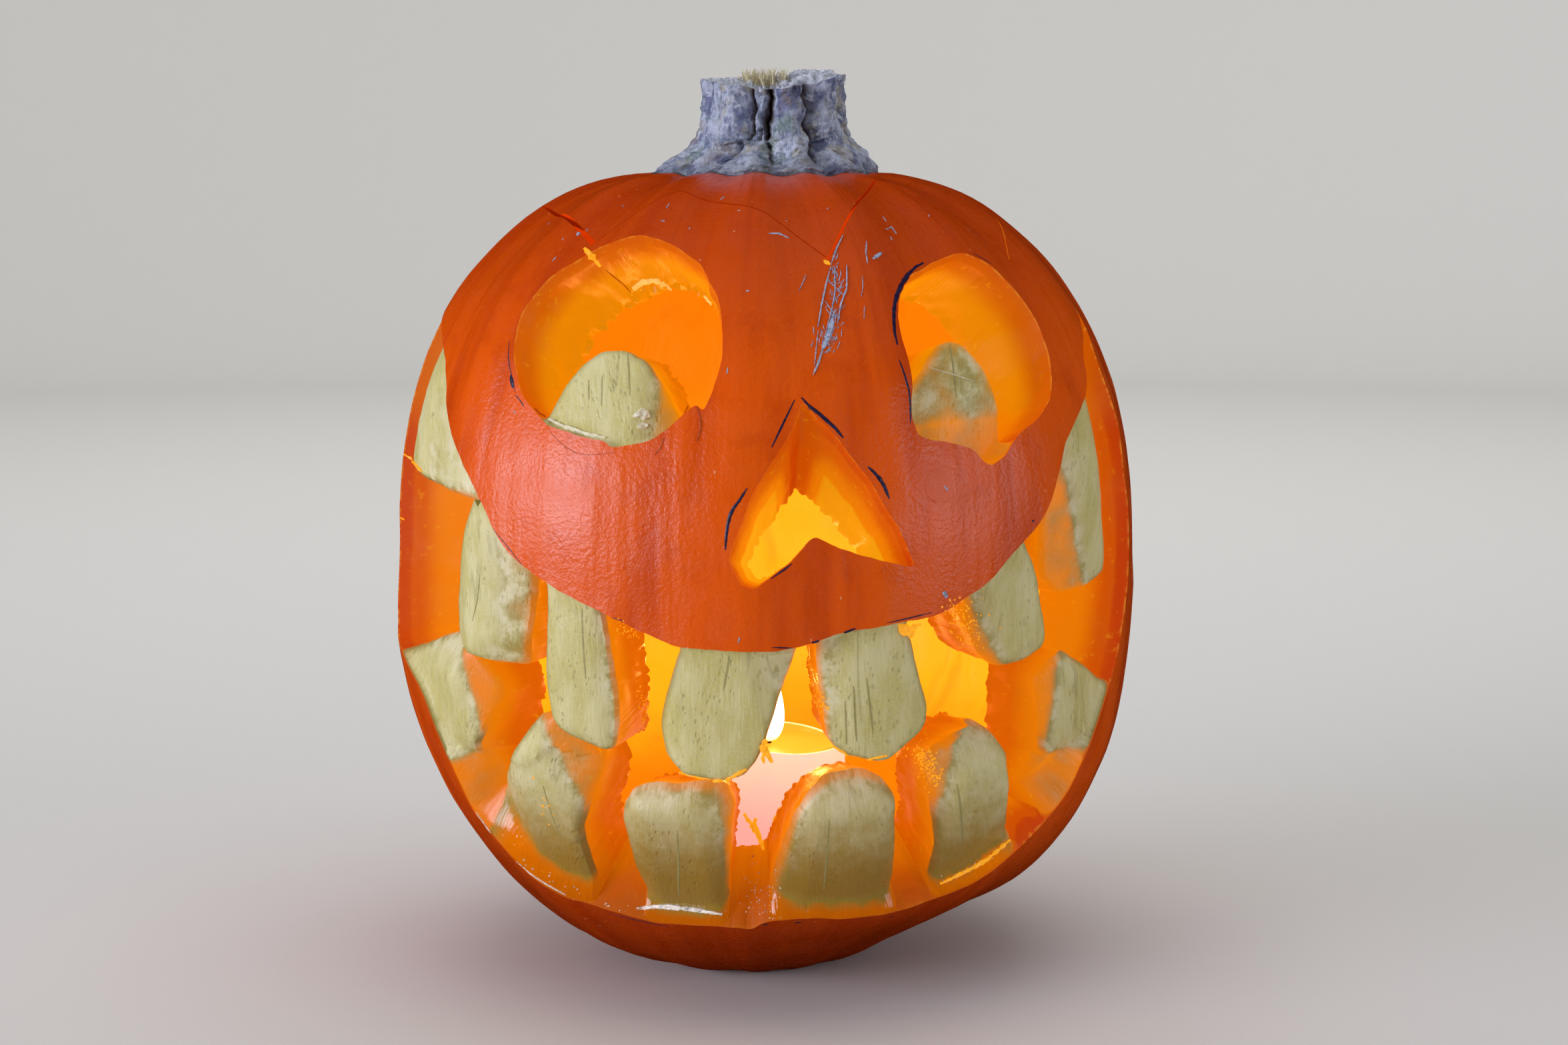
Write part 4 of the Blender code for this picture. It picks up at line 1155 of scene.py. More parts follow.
def line_cavity(form, solid, inner_of, rim, twin):
    """The cavity's surface, between the inner ends of all the cuts."""
    last = len(WALL_SHARES) - 1
    numbers = sorted(inner_of)
    at = {number: k for k, number in enumerate(numbers)}
    inner = np.array([inner_of[number] for number in numbers])
    edges = [(at[a], at[b]) for a, b, _ in rim]
    count = len(inner)
    high = float(inward(np.array(SEAM[:1], float))[0][1])
    fill = lattice(CAVITY_STEP, FLOOR_LATITUDE, CAVITY_TOP)
    kept = add_clear(inner, fill, CAVITY_STEP * FILL_CLEAR)
    kept = np.concatenate((kept, back_places(CAVITY_STEP, FLOOR_LATITUDE, high)))
    points, faces, origins = triangulate(mercator(kept), edges)
    cavity = from_mercator(points)
    mirrored = twins(cavity)
    segments = np.array([(inner[a], inner[b]) for a, b in edges])
    middles = np.array([cavity[face].mean(0) for face in faces])
    shown = crossings_above(middles, segments) % 2 == 1
    surface = form.cavity(cavity)
    names = {}
    for i in range(len(cavity)):
        rims = [numbers[k] for k in origins[mirrored[i]] if k < count]
        names[i] = (twin[rims[0]], last) if rims else ("cavity", mirrored[i])
    for face, kept_face in zip(faces, shown):
        if not kept_face:
            continue
        for i in face:
            solid.corner(names[i], surface[i], depth=1.0)
        solid.face([names[i] for i in reversed(face)], CAVITY_SLOT)
    floor = [
        i for i, p in enumerate(cavity) if abs(p[1] - FLOOR_LATITUDE) < 1e-3 and mirrored[i] == i
    ]
    floor.sort(key=lambda i: cavity[i][0])
    solid.face([names[i] for i in floor], CAVITY_SLOT)


# ---------------------------------------------------------------- the lid and its stem

LID_FOOT = 56.0
STEM_PROFILE = (
    (0, 1.0), (0.06, 0.92), (0.13, 0.82), (0.2, 0.735), (0.28, 0.67), (0.41, 0.62),
    (0.6, 0.6), (0.8, 0.6), (1, 0.61),
)
STEM_LEAN = 0.0032
# The stem's crevices: longitude low down and high up, half width in degrees, the share of
# the radius that each takes away, and the span of the height that it runs over
CREVICES = (
    (-20, -17, 5, 0.24, 0.34, 1.1), (-5, -3.5, 5.5, 0.34, 0.32, 1.1), (-13, -11, 7, 0.2, 0.3, 0.62),
    (-32, -22, 4, 0.16, 0.02, 0.42), (4, -4, 4, 0.24, 0.02, 0.42), (35, 31, 5, 0.24, 0.03, 1.1),
    (62, 36, 3, 0.1, 0.03, 0.36), (-58, -40, 3, 0.07, 0.05, 0.4), (72, 60, 5, 0.06, 0, 1.1),
    (105, 100, 8, 0.2, 0, 1.1), (150, 153, 8, 0.24, 0, 1.1), (-152, -150, 9, 0.2, 0, 1.1),
    (-100, -96, 8, 0.16, 0, 1.1), (-64, -58, 5, 0.06, 0.2, 1.1),
)
CREVICE_END = 0.12
# Knobs on the stem: longitude, height, half width in degrees, half height, and swelling
KNOBS = (
    (-50, 0.46, 15, 0.14, 0.08), (-30, 0.52, 11, 0.11, 0.06), (-70, 0.24, 15, 0.13, 0.07),
    (-40, 0.24, 12, 0.17, 0.08), (-13, 0.18, 9, 0.20, 0.10), (15, 0.30, 17, 0.24, 0.10),
    (12, 0.66, 12, 0.10, 0.04), (48, 0.18, 12, 0.18, 0.08), (80, 0.2, 16, 0.2, 0.06),
    (120, 0.25, 17, 0.2, 0.08), (-110, 0.25, 17, 0.2, 0.08), (175, 0.25, 17, 0.2, 0.08),
)
# Unevenness of the stem's side, as shares of its radius: the lobes between its crevices, broad
# and small knobs, corky and fine grain, and flakes
LOBE_SWELL = 0.075
KNOBBLY, LUMPY, CORKY, GRAINY, FLAKY = 0.045, 0.06, 0.030, 0.014, 0.030
MEAN_SHARE, DEEPEST_CUT, CREVICE_SHADE = 0.985, 0.34, 1.5
# How strongly the knobs and grain are turned into painted shade and highlight
RELIEF_SHADING = 6.0
# How far its cut top falls off, in metres: at all, towards the front, and towards the left
STEM_TOP_DROP, STEM_TILT_FRONT, STEM_TILT_REACH, STEM_TILT_LEFT = 0.0022, 0.0046, 52.0, 0.0016
FIBRES, FIBRE_BENDS = 230, (0.0, 0.35, 0.7)
# Where the fibres stand, in metres: the middle of their patch, its reach to the side and to
# the front, and how far below the stem's height they have their feet
FIBRE_PATCH, FIBRE_REACH, FIBRE_FOOT = (0.0006, -0.0045), (0.0075, 0.0095), 0.0068
FIBRE_WIDTH, FIBRE_HEIGHT, FIBRE_LEAN = (0.0003, 0.0008), (0.0030, 0.0064), 0.0022
# Marks of what is seen on the stem's cut top
CUT_TOP = {"depth": 1.0, "pale": 1.0, "wet": 0.5}


def turned(lon, middle):
    """Degrees round from the middle, from -180 to 180."""
    return (lon - middle + 180) % 360 - 180


def plates(points, size, seed):
    """Raised flat plates with cracks between them, from 0 in the cracks to 1."""
    shift = Vector((seed * 3.3, seed * 1.7, seed * 2.9))
    gaps = []
    for point in np.asarray(points, float).tolist():
        near = noise.voronoi(Vector(point) / size + shift)[0]
        gaps.append(near[1] - near[0])
    return smooth(np.array(gaps), 0.03, 0.28)


def stem_points(form, lon, up):
    """Points on the stem's side at these shares of its height, how deep in a crevice each is, and its
    relief for painted shade and highlight.
    """
    around = np.column_stack((lon, np.full(len(lon), STEM_BASE_LATITUDE)))
    base = form.skin(around)
    size = read_off(STEM_PROFILE, up)
    way = np.column_stack((np.sin(np.radians(lon)), -np.cos(np.radians(lon)), up * 1.35))
    wander = 4.5 * rough(way * (1.3, 1.3, 1.6), 0.5, 36, 4)
    cut, nearest, swell = np.zeros(len(lon)), np.full(len(lon), 90.0), np.zeros(len(lon))
    for foot, head, reach, depth, start, end in CREVICES:
        share = smooth(up, start, start + CREVICE_END) * (1 - smooth(up, end - CREVICE_END, end))
        off = np.abs(turned(lon + wander, foot + (head - foot) * (up - start) / (end - start)))
        cut = np.maximum(cut, share * depth * np.exp(-off / reach))
        nearest = np.where(share * depth > 0.1, np.minimum(nearest, off), nearest)
    for middle, height, reach, tall, rise in KNOBS:
        off = np.hypot(turned(lon + wander, middle) / reach, (up - height) / tall)
        swell = np.maximum(swell, rise * np.exp(-(off**2)))
    cut *= smooth(up, 0.0, 0.16)
    lobes = LOBE_SWELL * smooth(nearest, 2, 20) * smooth(up, 0.02, 0.2)
    knobs = KNOBBLY * rough(way, 0.36, 31, 1) * (1 - smooth(up, 0.30, 0.9)) + swell
    knobs += LUMPY * np.abs(rough(way, 0.2, 37, 2)) * (1 - smooth(up, 0.35, 0.95))
    corky = CORKY * rough(way * (1, 1, 0.7), 0.13, 32, 4) + GRAINY * rough(way, 0.035, 33, 2)
    flaky = FLAKY * plates(way, 0.16, 38) * smooth(rough(way, 0.5, 39), -0.1, 0.5)
    shape = MEAN_SHARE + lobes - cut + (knobs + corky + flaky) * smooth(up, 0.0, 0.06)
    left = (1 - np.sin(np.radians(lon))) / 2
    tilt = STEM_TILT_FRONT * hump(turned(lon, 0), 0, STEM_TILT_REACH) + STEM_TILT_LEFT * left
    top = form.sizes.stem_top - STEM_TOP_DROP - tilt + 0.0007 * rough(way * (1, 1, 0), 0.15, 34, 3)
    found = base * (size * shape)[:, None]
    found[:, 0] += STEM_LEAN * smooth(up, -0.1, 0.28)
    # Painted shade in the dips and painted highlight on the knobs, a little darker low down
    relief_shading = 0.6 * knobs - 0.02 * (1 - smooth(up, 0.3, 0.7)) + corky + flaky * 0.5
    relief = np.clip(0.5 + relief_shading * RELIEF_SHADING, 0, 1)
    found[:, 2] = base[:, 2] + (top - base[:, 2]) * up
    return found, np.clip(cut / DEEPEST_CUT, 0, 1) ** CREVICE_SHADE, relief


def make_lid(form, materials):
    """The lid, cut out along the seam with a slant that keeps it from falling in, and its stem."""
    seam = SEAM_LINE[:-1].copy()
    gap = seam_gap(seam[:, 0])
    shut = seam_shade(seam[:, 0])
    count = len(seam)
    solid = Solid()
    slant = np.array((0.0, SEAM_SLANT))
    for k, share in enumerate((0.0,) + WALL_SHARES):
        way = seam + slant * share
        drift = knife_drift(way, share)[1] * SEAM_TORN
        moved = way + np.column_stack((np.zeros(count), gap + drift))
        if k == len(WALL_SHARES):
            points = form.cavity(moved)
            inner_rim = moved
        else:
            outer = form.radius(moved) - SKIN_RELIEF
            points = form.points(moved, outer + (form.cavity_radius(moved) - outer) * share)
        if k == 0:
            outer_rim = moved
            points = form.skin(moved)
        for i in range(count):
            solid.corner(("seam", i, k), points[i], depth=share, shut=shut[i])
    for a, b in ring_edges(0, count):
        for k in range(len(WALL_SHARES)):
            keys = (("seam", a, k), ("seam", a, k + 1), ("seam", b, k + 1), ("seam", b, k))
            solid.face(keys, WALL_SLOT)
    stem_lon = 360 * np.arange(STEM_SIDES) / STEM_SIDES - BACK
    stem_ring = np.column_stack((stem_lon, np.full(STEM_SIDES, STEM_BASE_LATITUDE)))
    cover(form, solid, outer_rim, stem_ring, SKIN_STEP)
    cover(form, solid, inner_rim, None, CAVITY_STEP)
    raise_stem(form, solid, stem_lon)
    piece = solid.build("pumpkin_lid", materials)
    add_places_mark(piece, form)
    return piece


def cover(form, solid, rim, hole, step):
    """The lid's skin round the stem's foot, or its underside where there is no hole."""
    outer = hole is not None
    count = len(rim)
    fill = lattice(step, LID_FOOT, LID_TOP)
    fill = fill[inside(polar(fill), polar(rim))]
    kept, edges = rim, ring_edges(0, count)
    if outer:
        fill = fill[fill[:, 1] < STEM_BASE_LATITUDE - SEAM_MARGIN]
        kept = np.concatenate((rim, hole))
        edges = edges + ring_edges(count, len(hole))
    kept = add_clear(kept, fill, step * FINE_CLEAR)
    points, faces, origins = triangulate(polar(kept), edges)
    places = from_polar(points)
    middles = np.array([points[face].mean(0) for face in faces])
    shown = inside(middles, polar(rim))
    if outer:
        shown &= ~inside(middles, polar(hole))
    surface = form.skin(places) if outer else form.cavity(places)
    layer = 0 if outer else len(WALL_SHARES)
    for face, kept_face in zip(faces, shown):
        if not kept_face:
            continue
        keys = []
        for i in face:
            number = origins[i][0]
            if number < count:
                keys.append(("seam", number, layer))
            elif outer and number < count + len(hole):
                keys.append(("stem", number - count, 0))
            else:
                keys.append((layer, number))
            solid.corner(keys[-1], surface[i], depth=0.0 if outer else 1.0)
        solid.face(keys if outer else keys[::-1], SKIN_SLOT if outer else CAVITY_SLOT)


# The stem's cut top, in metres: how far its middle lies below its height, how far it is sunk
# inside its rim, the slab left standing on the right and from where to where that rises, its
# chips and grain, and how close it comes to the full height
TOP_MIDDLE, TOP_SUNK, TOP_CLEAR = 0.0030, 0.0009, 0.0003
SLAB, SLAB_RISE = 0.0016, (0.007, 0.011)
CHIPS, CHIP_SIZE, GRAIN, GRAIN_SIZE = 0.0011, 0.0036, 0.0010, 0.0018


def raise_stem(form, solid, lon):
    """The stem's side, ring by ring, and its rough cut top."""
    count, last = len(lon), STEM_LEVELS + STEM_TOP_RINGS - 1
    for level in range(1, STEM_LEVELS + 1):
        points, hollow, relief = stem_points(form, lon, np.full(count, level / STEM_LEVELS))
        for i in range(count):
            # The shut mark carries how deep each crevice is and the wet mark the relief, both for
            # painted shade
            marks = {"depth": level / STEM_LEVELS, "shut": hollow[i], "wet": relief[i]}
            solid.corner(("stem", i, level), points[i], **marks)
    rim = points
    middle = rim.mean(0)
    middle[2] = form.sizes.stem_top - TOP_MIDDLE
    for ring in range(1, STEM_TOP_RINGS):
        share = ring / STEM_TOP_RINGS
        points = rim + (middle - rim) * share
        sunk = TOP_SUNK * smooth(share, 0.0, 0.14)
        slab = SLAB * smooth(points[:, 0], *SLAB_RISE) * smooth(share, 0.08, 0.16)
        chips = CHIPS * plates(points, CHIP_SIZE, 40) + GRAIN * rough(points, GRAIN_SIZE, 35, 3)
        points[:, 2] += slab - sunk + (chips - 0.0004) * smooth(share, 0, 0.12)
        points[:, 2] = np.minimum(points[:, 2], form.sizes.stem_top - TOP_CLEAR)
        for i in range(count):
            marks = {**CUT_TOP, "shut": hollow[i] * (1 - share)}
            solid.corner(("stem", i, STEM_LEVELS + ring), points[i], **marks)
    middle[2] = float(points[:, 2].mean())
    solid.corner("stem middle", middle, **CUT_TOP)
    for level in range(last):
        for a, b in ring_edges(0, count):
            corners = ((a, level), (b, level), (b, level + 1), (a, level + 1))
            solid.face([("stem", *corner) for corner in corners], STEM_SLOT)
    for a, b in ring_edges(0, count):
        solid.face((("stem", a, last), ("stem", b, last), "stem middle"), STEM_SLOT)


def make_stem_fibres(form, material):
    """Torn fibres standing up from the middle of the stem's cut top."""
    chance = np.random.default_rng(8)
    solid = Solid()
    stem_top = form.sizes.stem_top
    marks = {**CUT_TOP, "cream": 1.0}
    for n in range(FIBRES):
        angle, reach = chance.uniform(0, math.tau), math.sqrt(chance.uniform(0, 1))
        x = FIBRE_PATCH[0] + FIBRE_REACH[0] * reach * math.sin(angle)
        y = FIBRE_PATCH[1] - FIBRE_REACH[1] * reach * math.cos(angle)
        size = chance.uniform(*FIBRE_WIDTH)
        foot = stem_top - FIBRE_FOOT
        tall = min(stem_top - foot, chance.uniform(*FIBRE_HEIGHT) + 0.0008 * (1 - reach))
        lean = chance.uniform(-FIBRE_LEAN, FIBRE_LEAN, 2)
        for k, bend in enumerate(FIBRE_BENDS):
            for i in range(4):
                a = math.tau * i / 4 + angle
                wide = size * (1 - 0.75 * bend) * (1.0, 0.45)[i % 2]
                east = x + lean[0] * bend**2 + wide * math.sin(a)
                north = y + lean[1] * bend**2 - wide * math.cos(a)
                solid.corner((n, i, k), (east, north, foot + tall * bend), **marks)
        solid.corner((n, "tip"), (x + lean[0], y + lean[1], foot + tall), **marks)
        for a, b in ring_edges(0, 4):
            for k in (0, 1):
                solid.face(((n, a, k), (n, b, k), (n, b, k + 1), (n, a, k + 1)))
            solid.face(((n, a, 2), (n, b, 2), (n, "tip")))
        solid.face([(n, i, 0) for i in (3, 2, 1, 0)])
    return solid.build("stem_fibres", [material])


# ---------------------------------------------------------------- the candle and its flame

CANDLE_SIDES, WICK_SIDES, FLAME_SIDES = 128, 16, 32
# The angle in degrees past which the edges of turned pieces and marks are sharp
TURNED_SHARP = 60
# The candle's outline from its foot's middle to its head's: which end each height counts from,
# the share of its radius, and the height in metres
CANDLE_PROFILE = (
    ("foot", 0.95, 0), ("foot", 0.99, 0.0005), ("foot", 1, 0.0016),
    ("foot", 1, 0.010), ("foot", 1, 0.020), ("foot", 1, 0.030), ("top", 1, -0.0040),
    ("top", 0.996, -0.0020), ("top", 0.985, -0.0009), ("top", 0.965, -0.0003), ("top", 0.945, -0.0002),
    ("top", 0.92, -0.0006), ("top", 0.89, -0.0018), ("top", 0.85, -0.0034), ("top", 0.80, -0.0042),
    ("top", 0.6, -0.0044), ("top", 0.35, -0.0044), ("top", 0.12, -0.0043),
)
POOL_DEPTH = 0.0042
# How far the rim has slumped unevenly and on its right, in metres, and the shares of the radius
# from which the rim counts and within which the pool does
SLUMP, RIGHT_SLUMP, RIM_FROM, POOL_WITHIN = 0.0012, 0.0026, 0.86, 0.93


def revolve(name, material, ends, levels, sides, at, **head_marks):
    """A closed turned piece: its two ends, and where each corner round a level lies."""
    solid = Solid()
    solid.corner("foot", ends[0])
    solid.corner("head", ends[1], **head_marks)
    for level in range(levels):
        for i in range(sides):
            point, marks = at(level, math.tau * i / sides)
            solid.corner((i, level), point, **marks)
    for a, b in ring_edges(0, sides):
        solid.face(("foot", (b, 0), (a, 0)))
        solid.face(("head", (a, levels - 1), (b, levels - 1)))
        for level in range(levels - 1):
            solid.face(((a, level), (b, level), (b, level + 1), (a, level + 1)))
    return solid.build(name, [material], TURNED_SHARP)


def make_candle(sizes, material):
    """A short pillar candle: slumped rim, shallow pool of melted wax."""
    low, high = CANDLE_BOX
    middle = (low + high) / 2

    def at(level, a):
        end, share, height = CANDLE_PROFILE[level]
        slump = 0.5 + 0.5 * noise.noise(Vector((math.sin(a) * 1.3, math.cos(a) * 1.3, 4.0)))
        radius = share * sizes.candle_radius * (1 - 0.006 * slump)
        z = low.z + height if end == "foot" else high.z + height
        if end == "top" and share > RIM_FROM:
            z -= SLUMP * slump + RIGHT_SLUMP * (0.5 + 0.5 * math.sin(a)) ** 2
        point = (middle.x + radius * math.sin(a), middle.y - radius * math.cos(a), z)
        return point, {"pale": float(end == "top" and share < POOL_WITHIN)}

    ends = ((middle.x, middle.y, low.z), (middle.x, middle.y, high.z - POOL_DEPTH))
    count = len(CANDLE_PROFILE)
    return revolve("candle_wax", material, ends, count, CANDLE_SIDES, at, pale=1.0)


def lathe(name, middle, foot, head, profile, sides, material, bend=0.0):
    """A turned piece whose axis leans over towards its top by the bend."""

    def at(level, a):
        radius, height = profile[level]
        share = (height - foot) / (head - foot)
        x = middle.x + bend * share**2 + radius * math.sin(a)
        return (x, middle.y - radius * math.cos(a), height), {"depth": share}

    ends = ((middle.x, middle.y, foot), (middle.x + bend, middle.y, head))
    return revolve(name, material, ends, len(profile), sides, at)


WICK_RINGS, FLAME_RINGS, FLAME_BEND = 10, 28, 0.0008


def make_wick(material):
    """The burnt wick: a thin cord that thins and thickens along its twist."""
    low, high = WICK_BOX
    radius = (high.x - low.x) / 2
    profile = []
    for i in range(WICK_RINGS + 1):
        share = i / WICK_RINGS
        wide = radius * (0.8 - 0.25 * share + 0.12 * math.sin(share * 19))
        profile.append((wide, low.z + (high.z - low.z) * (0.005 + 0.985 * share)))
    middle = (low + high) / 2
    return lathe("candle_wick", middle, low.z, high.z, profile, WICK_SIDES, material)


def make_flame(sizes, material):
    """The flame: a drop with a long point, standing round the wick's end."""
    low, high = WICK_BOX
    foot, tall = low.z + 0.0005, sizes.flame_height
    profile = []
    for i in range(1, FLAME_RINGS):
        share = i / FLAME_RINGS
        wide = math.sin(math.pi * share**0.62) ** 0.8 * (1 - 0.32 * share)
        profile.append((sizes.flame_radius * wide, foot + tall * share))
    middle, head = (low + high) / 2, foot + tall
    flame = lathe("flame", middle, foot, head, profile, FLAME_SIDES, material, FLAME_BEND)
    flame.visible_shadow = False
    return flame


# ---------------------------------------------------------------- marks, crumbs and scraps

# Spacing of a mark's places in degrees; in metres, how deep marks are sunk, the longest gap
# within one, and how far beyond the skin they may lie on it and in the openings
MARK_STEP, SINK, LONGEST_STEP = 0.22, 0.00035, 0.004
ON_SKIN, ANYWHERE = 0.0025, 0.05
CRUMB_SIZE, BEAD_SIZE = (0.00015, 0.0005), (0.00015, 0.00045)
SCRAP_RISE, SCRAP_RAGGED = 0.0005, 0.9
STRANDS = 110


class Seen:
    """Finds what lies in front of a viewer's eye at each place on the pumpkin's skin."""

    def __init__(self, form, eye, *pieces):
        self.form = form
        self.eye = eye
        points, faces = [], []
        for piece in pieces:
            first = len(points)
            points += [vertex.co.copy() for vertex in piece.data.vertices]
            faces += [[first + i for i in face.vertices] for face in piece.data.polygons]
        self.tree = BVHTree.FromPolygons(points, faces)

    def way(self, place):
        """From the eye to a place on the skin."""
        return Vector(self.form.skin(np.array([place]))[0]) - self.eye

    def at(self, place, most=math.inf):
        """The point seen at a place, at most so far beyond the skin, and its normal."""
        way = self.way(place)
        point, normal, _, distance = self.tree.ray_cast(self.eye, way)
        if point is None or distance > way.length + most:
            return None
        return point, normal if normal.dot(way) < 0 else -normal


def run_through(places, step):
    """Places in even steps along a line through the given ones."""
    found = []
    for a, b in zip(places, places[1:]):
        count = max(1, math.ceil(spacing(a, b) / step))
        found += [between(a, b, i / count) for i in range(count)]
    return found + [tuple(places[-1])]


def ribbon(solid, name, spots, width, rise, ragged):
    """A closed strip along points with normals, tapering at both ends."""
    last = len(spots) - 1
    for i, (point, normal) in enumerate(spots):
        ahead = spots[min(i + 1, last)][0] - spots[max(i - 1, 0)][0]
        side = normal.cross(ahead).normalized()
        unevenness = 1 + ragged * noise.noise(point * 900)
        taper = max(0.15, math.sin(math.pi * (i + 0.35) / (last + 0.7))) ** 0.4
        half = width / 2 * unevenness * taper
        up = rise * (1 + ragged * noise.noise(point * 700 + Vector((5, 0, 0))))
        for k, (across, out) in enumerate(((-1, -SINK), (1, -SINK), (0.6, up), (-0.6, up))):
            solid.corner((name, i, k), point + side * half * across + normal * out)
    for i in range(last):
        for k, after in ring_edges(0, 4):
            solid.face(((name, i, k), (name, i, after), (name, i + 1, after), (name, i + 1, k)))
    solid.face([(name, 0, k) for k in (3, 2, 1, 0)])
    solid.face([(name, last, k) for k in (0, 1, 2, 3)])


def draw_marks(solid, seen, marks, ragged, most):
    """Ribbons for a table of marks, broken wherever there is nothing to lie on."""
    for n, (width, rise, places) in enumerate(marks):
        runs, spots = [], []
        for place in run_through(places, MARK_STEP):
            spot = seen.at(place, most)
            joined = spot and (not spots or (spot[0] - spots[-1][0]).length < LONGEST_STEP)
            if spot and joined:
                spots.append(spot)
            else:
                runs.append(spots)
                spots = [spot] if spot else []
        runs.append(spots)
        for k, run in enumerate(runs):
            if len(run) > 2:
                ribbon(solid, (n, k), run, width / 1000, rise / 1000, ragged)


def strew(solid, seen, lines, sizes, seed):
    """Small lumps scattered along lines over whatever is seen there."""
    chance = np.random.default_rng(seed)
    for n, (start, end, stray, count) in enumerate(lines):
        for k in range(count):
            place = between(start, end, chance.uniform(0, 1))
            spot = seen.at((place[0] + chance.normal(0, stray), place[1] + chance.normal(0, stray)))
            size = chance.uniform(*sizes)
            if spot:
                lump(solid, (n, k), spot, size, chance)


def lump(solid, name, spot, size, chance):
    """An uneven eight-sided bead, half sunk in."""
    point, normal = spot
    side = normal.orthogonal().normalized()
    other = normal.cross(side)
    for i, way in enumerate((side, other, -side, -other)):
        solid.corner((name, i), point + way * size * chance.uniform(0.6, 1.3))
    solid.corner((name, "top"), point + normal * size)
    solid.corner((name, "foot"), point - normal * size)
    for a, b in ring_edges(0, 4):
        solid.face(((name, a), (name, b), (name, "top")))
        solid.face(((name, b), (name, a), (name, "foot")))


def strand(chance, place, turns, reaches, widths, rise):
    """A short straight mark that starts at a place, drawn at random."""
    turn, reach = chance.normal(*turns), chance.uniform(*reaches)
    end = (place[0] + reach * math.sin(turn), place[1] + reach * math.cos(turn))
    return chance.uniform(*widths), rise, (place, end)


def hatching():
    """Fine strands criss-crossing the thickest part of the scar, and flecks elsewhere."""
    chance = np.random.default_rng(3)
    along = run_through(SCAR_HATCHING, 0.4)
    found = []
    for _ in range(STRANDS):
        lon, lat = along[int(len(along) * chance.uniform(0, 1) ** 1.7)]
        place = (lon + chance.normal(0, 0.8), lat + chance.normal(0, 0.5))
        found.append(strand(chance, place, (0.5, 0.5), (0.4, 1.2), (0.2, 0.38), 0.15))
    for place in FLECKS:
        found.append(strand(chance, place, (0.4, 0.8), (0.3, 1.1), (0.3, 0.7), 0.1))
    return tuple(found)


def make_scraps(solid, seen):
    """Torn shreds of flesh in the openings, as far off as the place they hold on to."""
    for n, (width, hold, places) in enumerate(SCRAPS):
        far = seen.at(hold)[0].y - seen.eye.y
        spots = []
        for place in run_through(places, MARK_STEP):
            way = seen.way(place)
            spots.append((seen.eye + way * (far / way.y), Vector((0, -1, 0))))
        ribbon(solid, ("scrap", n), spots, width / 1000, SCRAP_RISE, SCRAP_RAGGED)


# ---------------------------------------------------------------- shader nodes
# Noise scales are in lumps to the metre. A fade's first two numbers say where in the noise,
# or at which height in metres or share of the depth, it starts and ends.

FLOAT, COLOUR, VECTOR = "NodeSocketFloat", "NodeSocketColor", "NodeSocketVector"


def put(tree, socket, value):
    """Links a socket where the value is one too, and sets it where it is a number or colour."""
    if isinstance(value, bpy.types.NodeSocket):
        tree.links.new(value, socket)
    else:
        socket.default_value = (*value, 1) if socket.type == "RGBA" else value


def add(tree, kind, inputs, **settings):
    """A node with its settings and its inputs."""
    node = tree.nodes.new(kind)
    for name, value in settings.items():
        setattr(node, name, value)
    for name, value in inputs.items():
        put(tree, node.inputs[name], value)
    return node


def maths(tree, operation, a, b=0.0, clamp=False):
    inputs = {0: a, 1: b}
    return add(tree, "ShaderNodeMath", inputs, operation=operation, use_clamp=clamp).outputs[0]


def times(tree, a, b):
    return maths(tree, "MULTIPLY", a, b)


def plus(tree, a, b):
    return maths(tree, "ADD", a, b)


def frayed(tree, value, grain, share):
    """A value made uneven by a share of the noise."""
    return plus(tree, value, times(tree, maths(tree, "SUBTRACT", grain, 0.5), share))


def blend(tree, share, a, b):
    """Colour b over colour a by a share."""
    inputs = {0: share, 6: a, 7: b}
    return add(tree, "ShaderNodeMix", inputs, data_type="RGBA").outputs[2]


def coats(tree, base, *layers):
    """Colours laid one over another, each given with its mask."""
    for mask, layer in layers:
        base = blend(tree, mask, base, layer)
    return base


def fade(tree, value, low, high, start=0.0, end=1.0):
    """A value carried from the span low to high onto the span start to end, softly."""
    span = {"From Min": low, "From Max": high, "To Min": start, "To Max": end}
    inputs = {"Value": value, **span}
    return add(tree, "ShaderNodeMapRange", inputs, interpolation_type="SMOOTHSTEP").outputs[0]


def both(tree, first, second):
    """Where two fades both show."""
    return times(tree, fade(tree, *first), fade(tree, *second))


def attribute(tree, name, output="Fac"):
    return add(tree, "ShaderNodeAttribute", {}, attribute_name=name).outputs[output]


def stretched(tree, vector, scale):
    return add(tree, "ShaderNodeMapping", {"Vector": vector, "Scale": scale}).outputs[0]


def moved(tree, vector, shift):
    return add(tree, "ShaderNodeVectorMath", {0: vector, 1: shift}).outputs[0]


def clouds(tree, vector, scale, detail=3.0, roughness=0.5, distortion=0.0):
    inputs = {"Vector": vector, "Scale": scale, "Detail": detail}
    inputs.update({"Roughness": roughness, "Distortion": distortion})
    return add(tree, "ShaderNodeTexNoise", inputs).outputs[0]


def cells(tree, vector, scale):
    return add(tree, "ShaderNodeTexVoronoi", {"Vector": vector, "Scale": scale}).outputs[0]


def object_place(tree):
    return add(tree, "ShaderNodeTexCoord", {}).outputs["Object"]


def height_of(tree, place):
    return add(tree, "ShaderNodeSeparateXYZ", {0: place}).outputs[2]


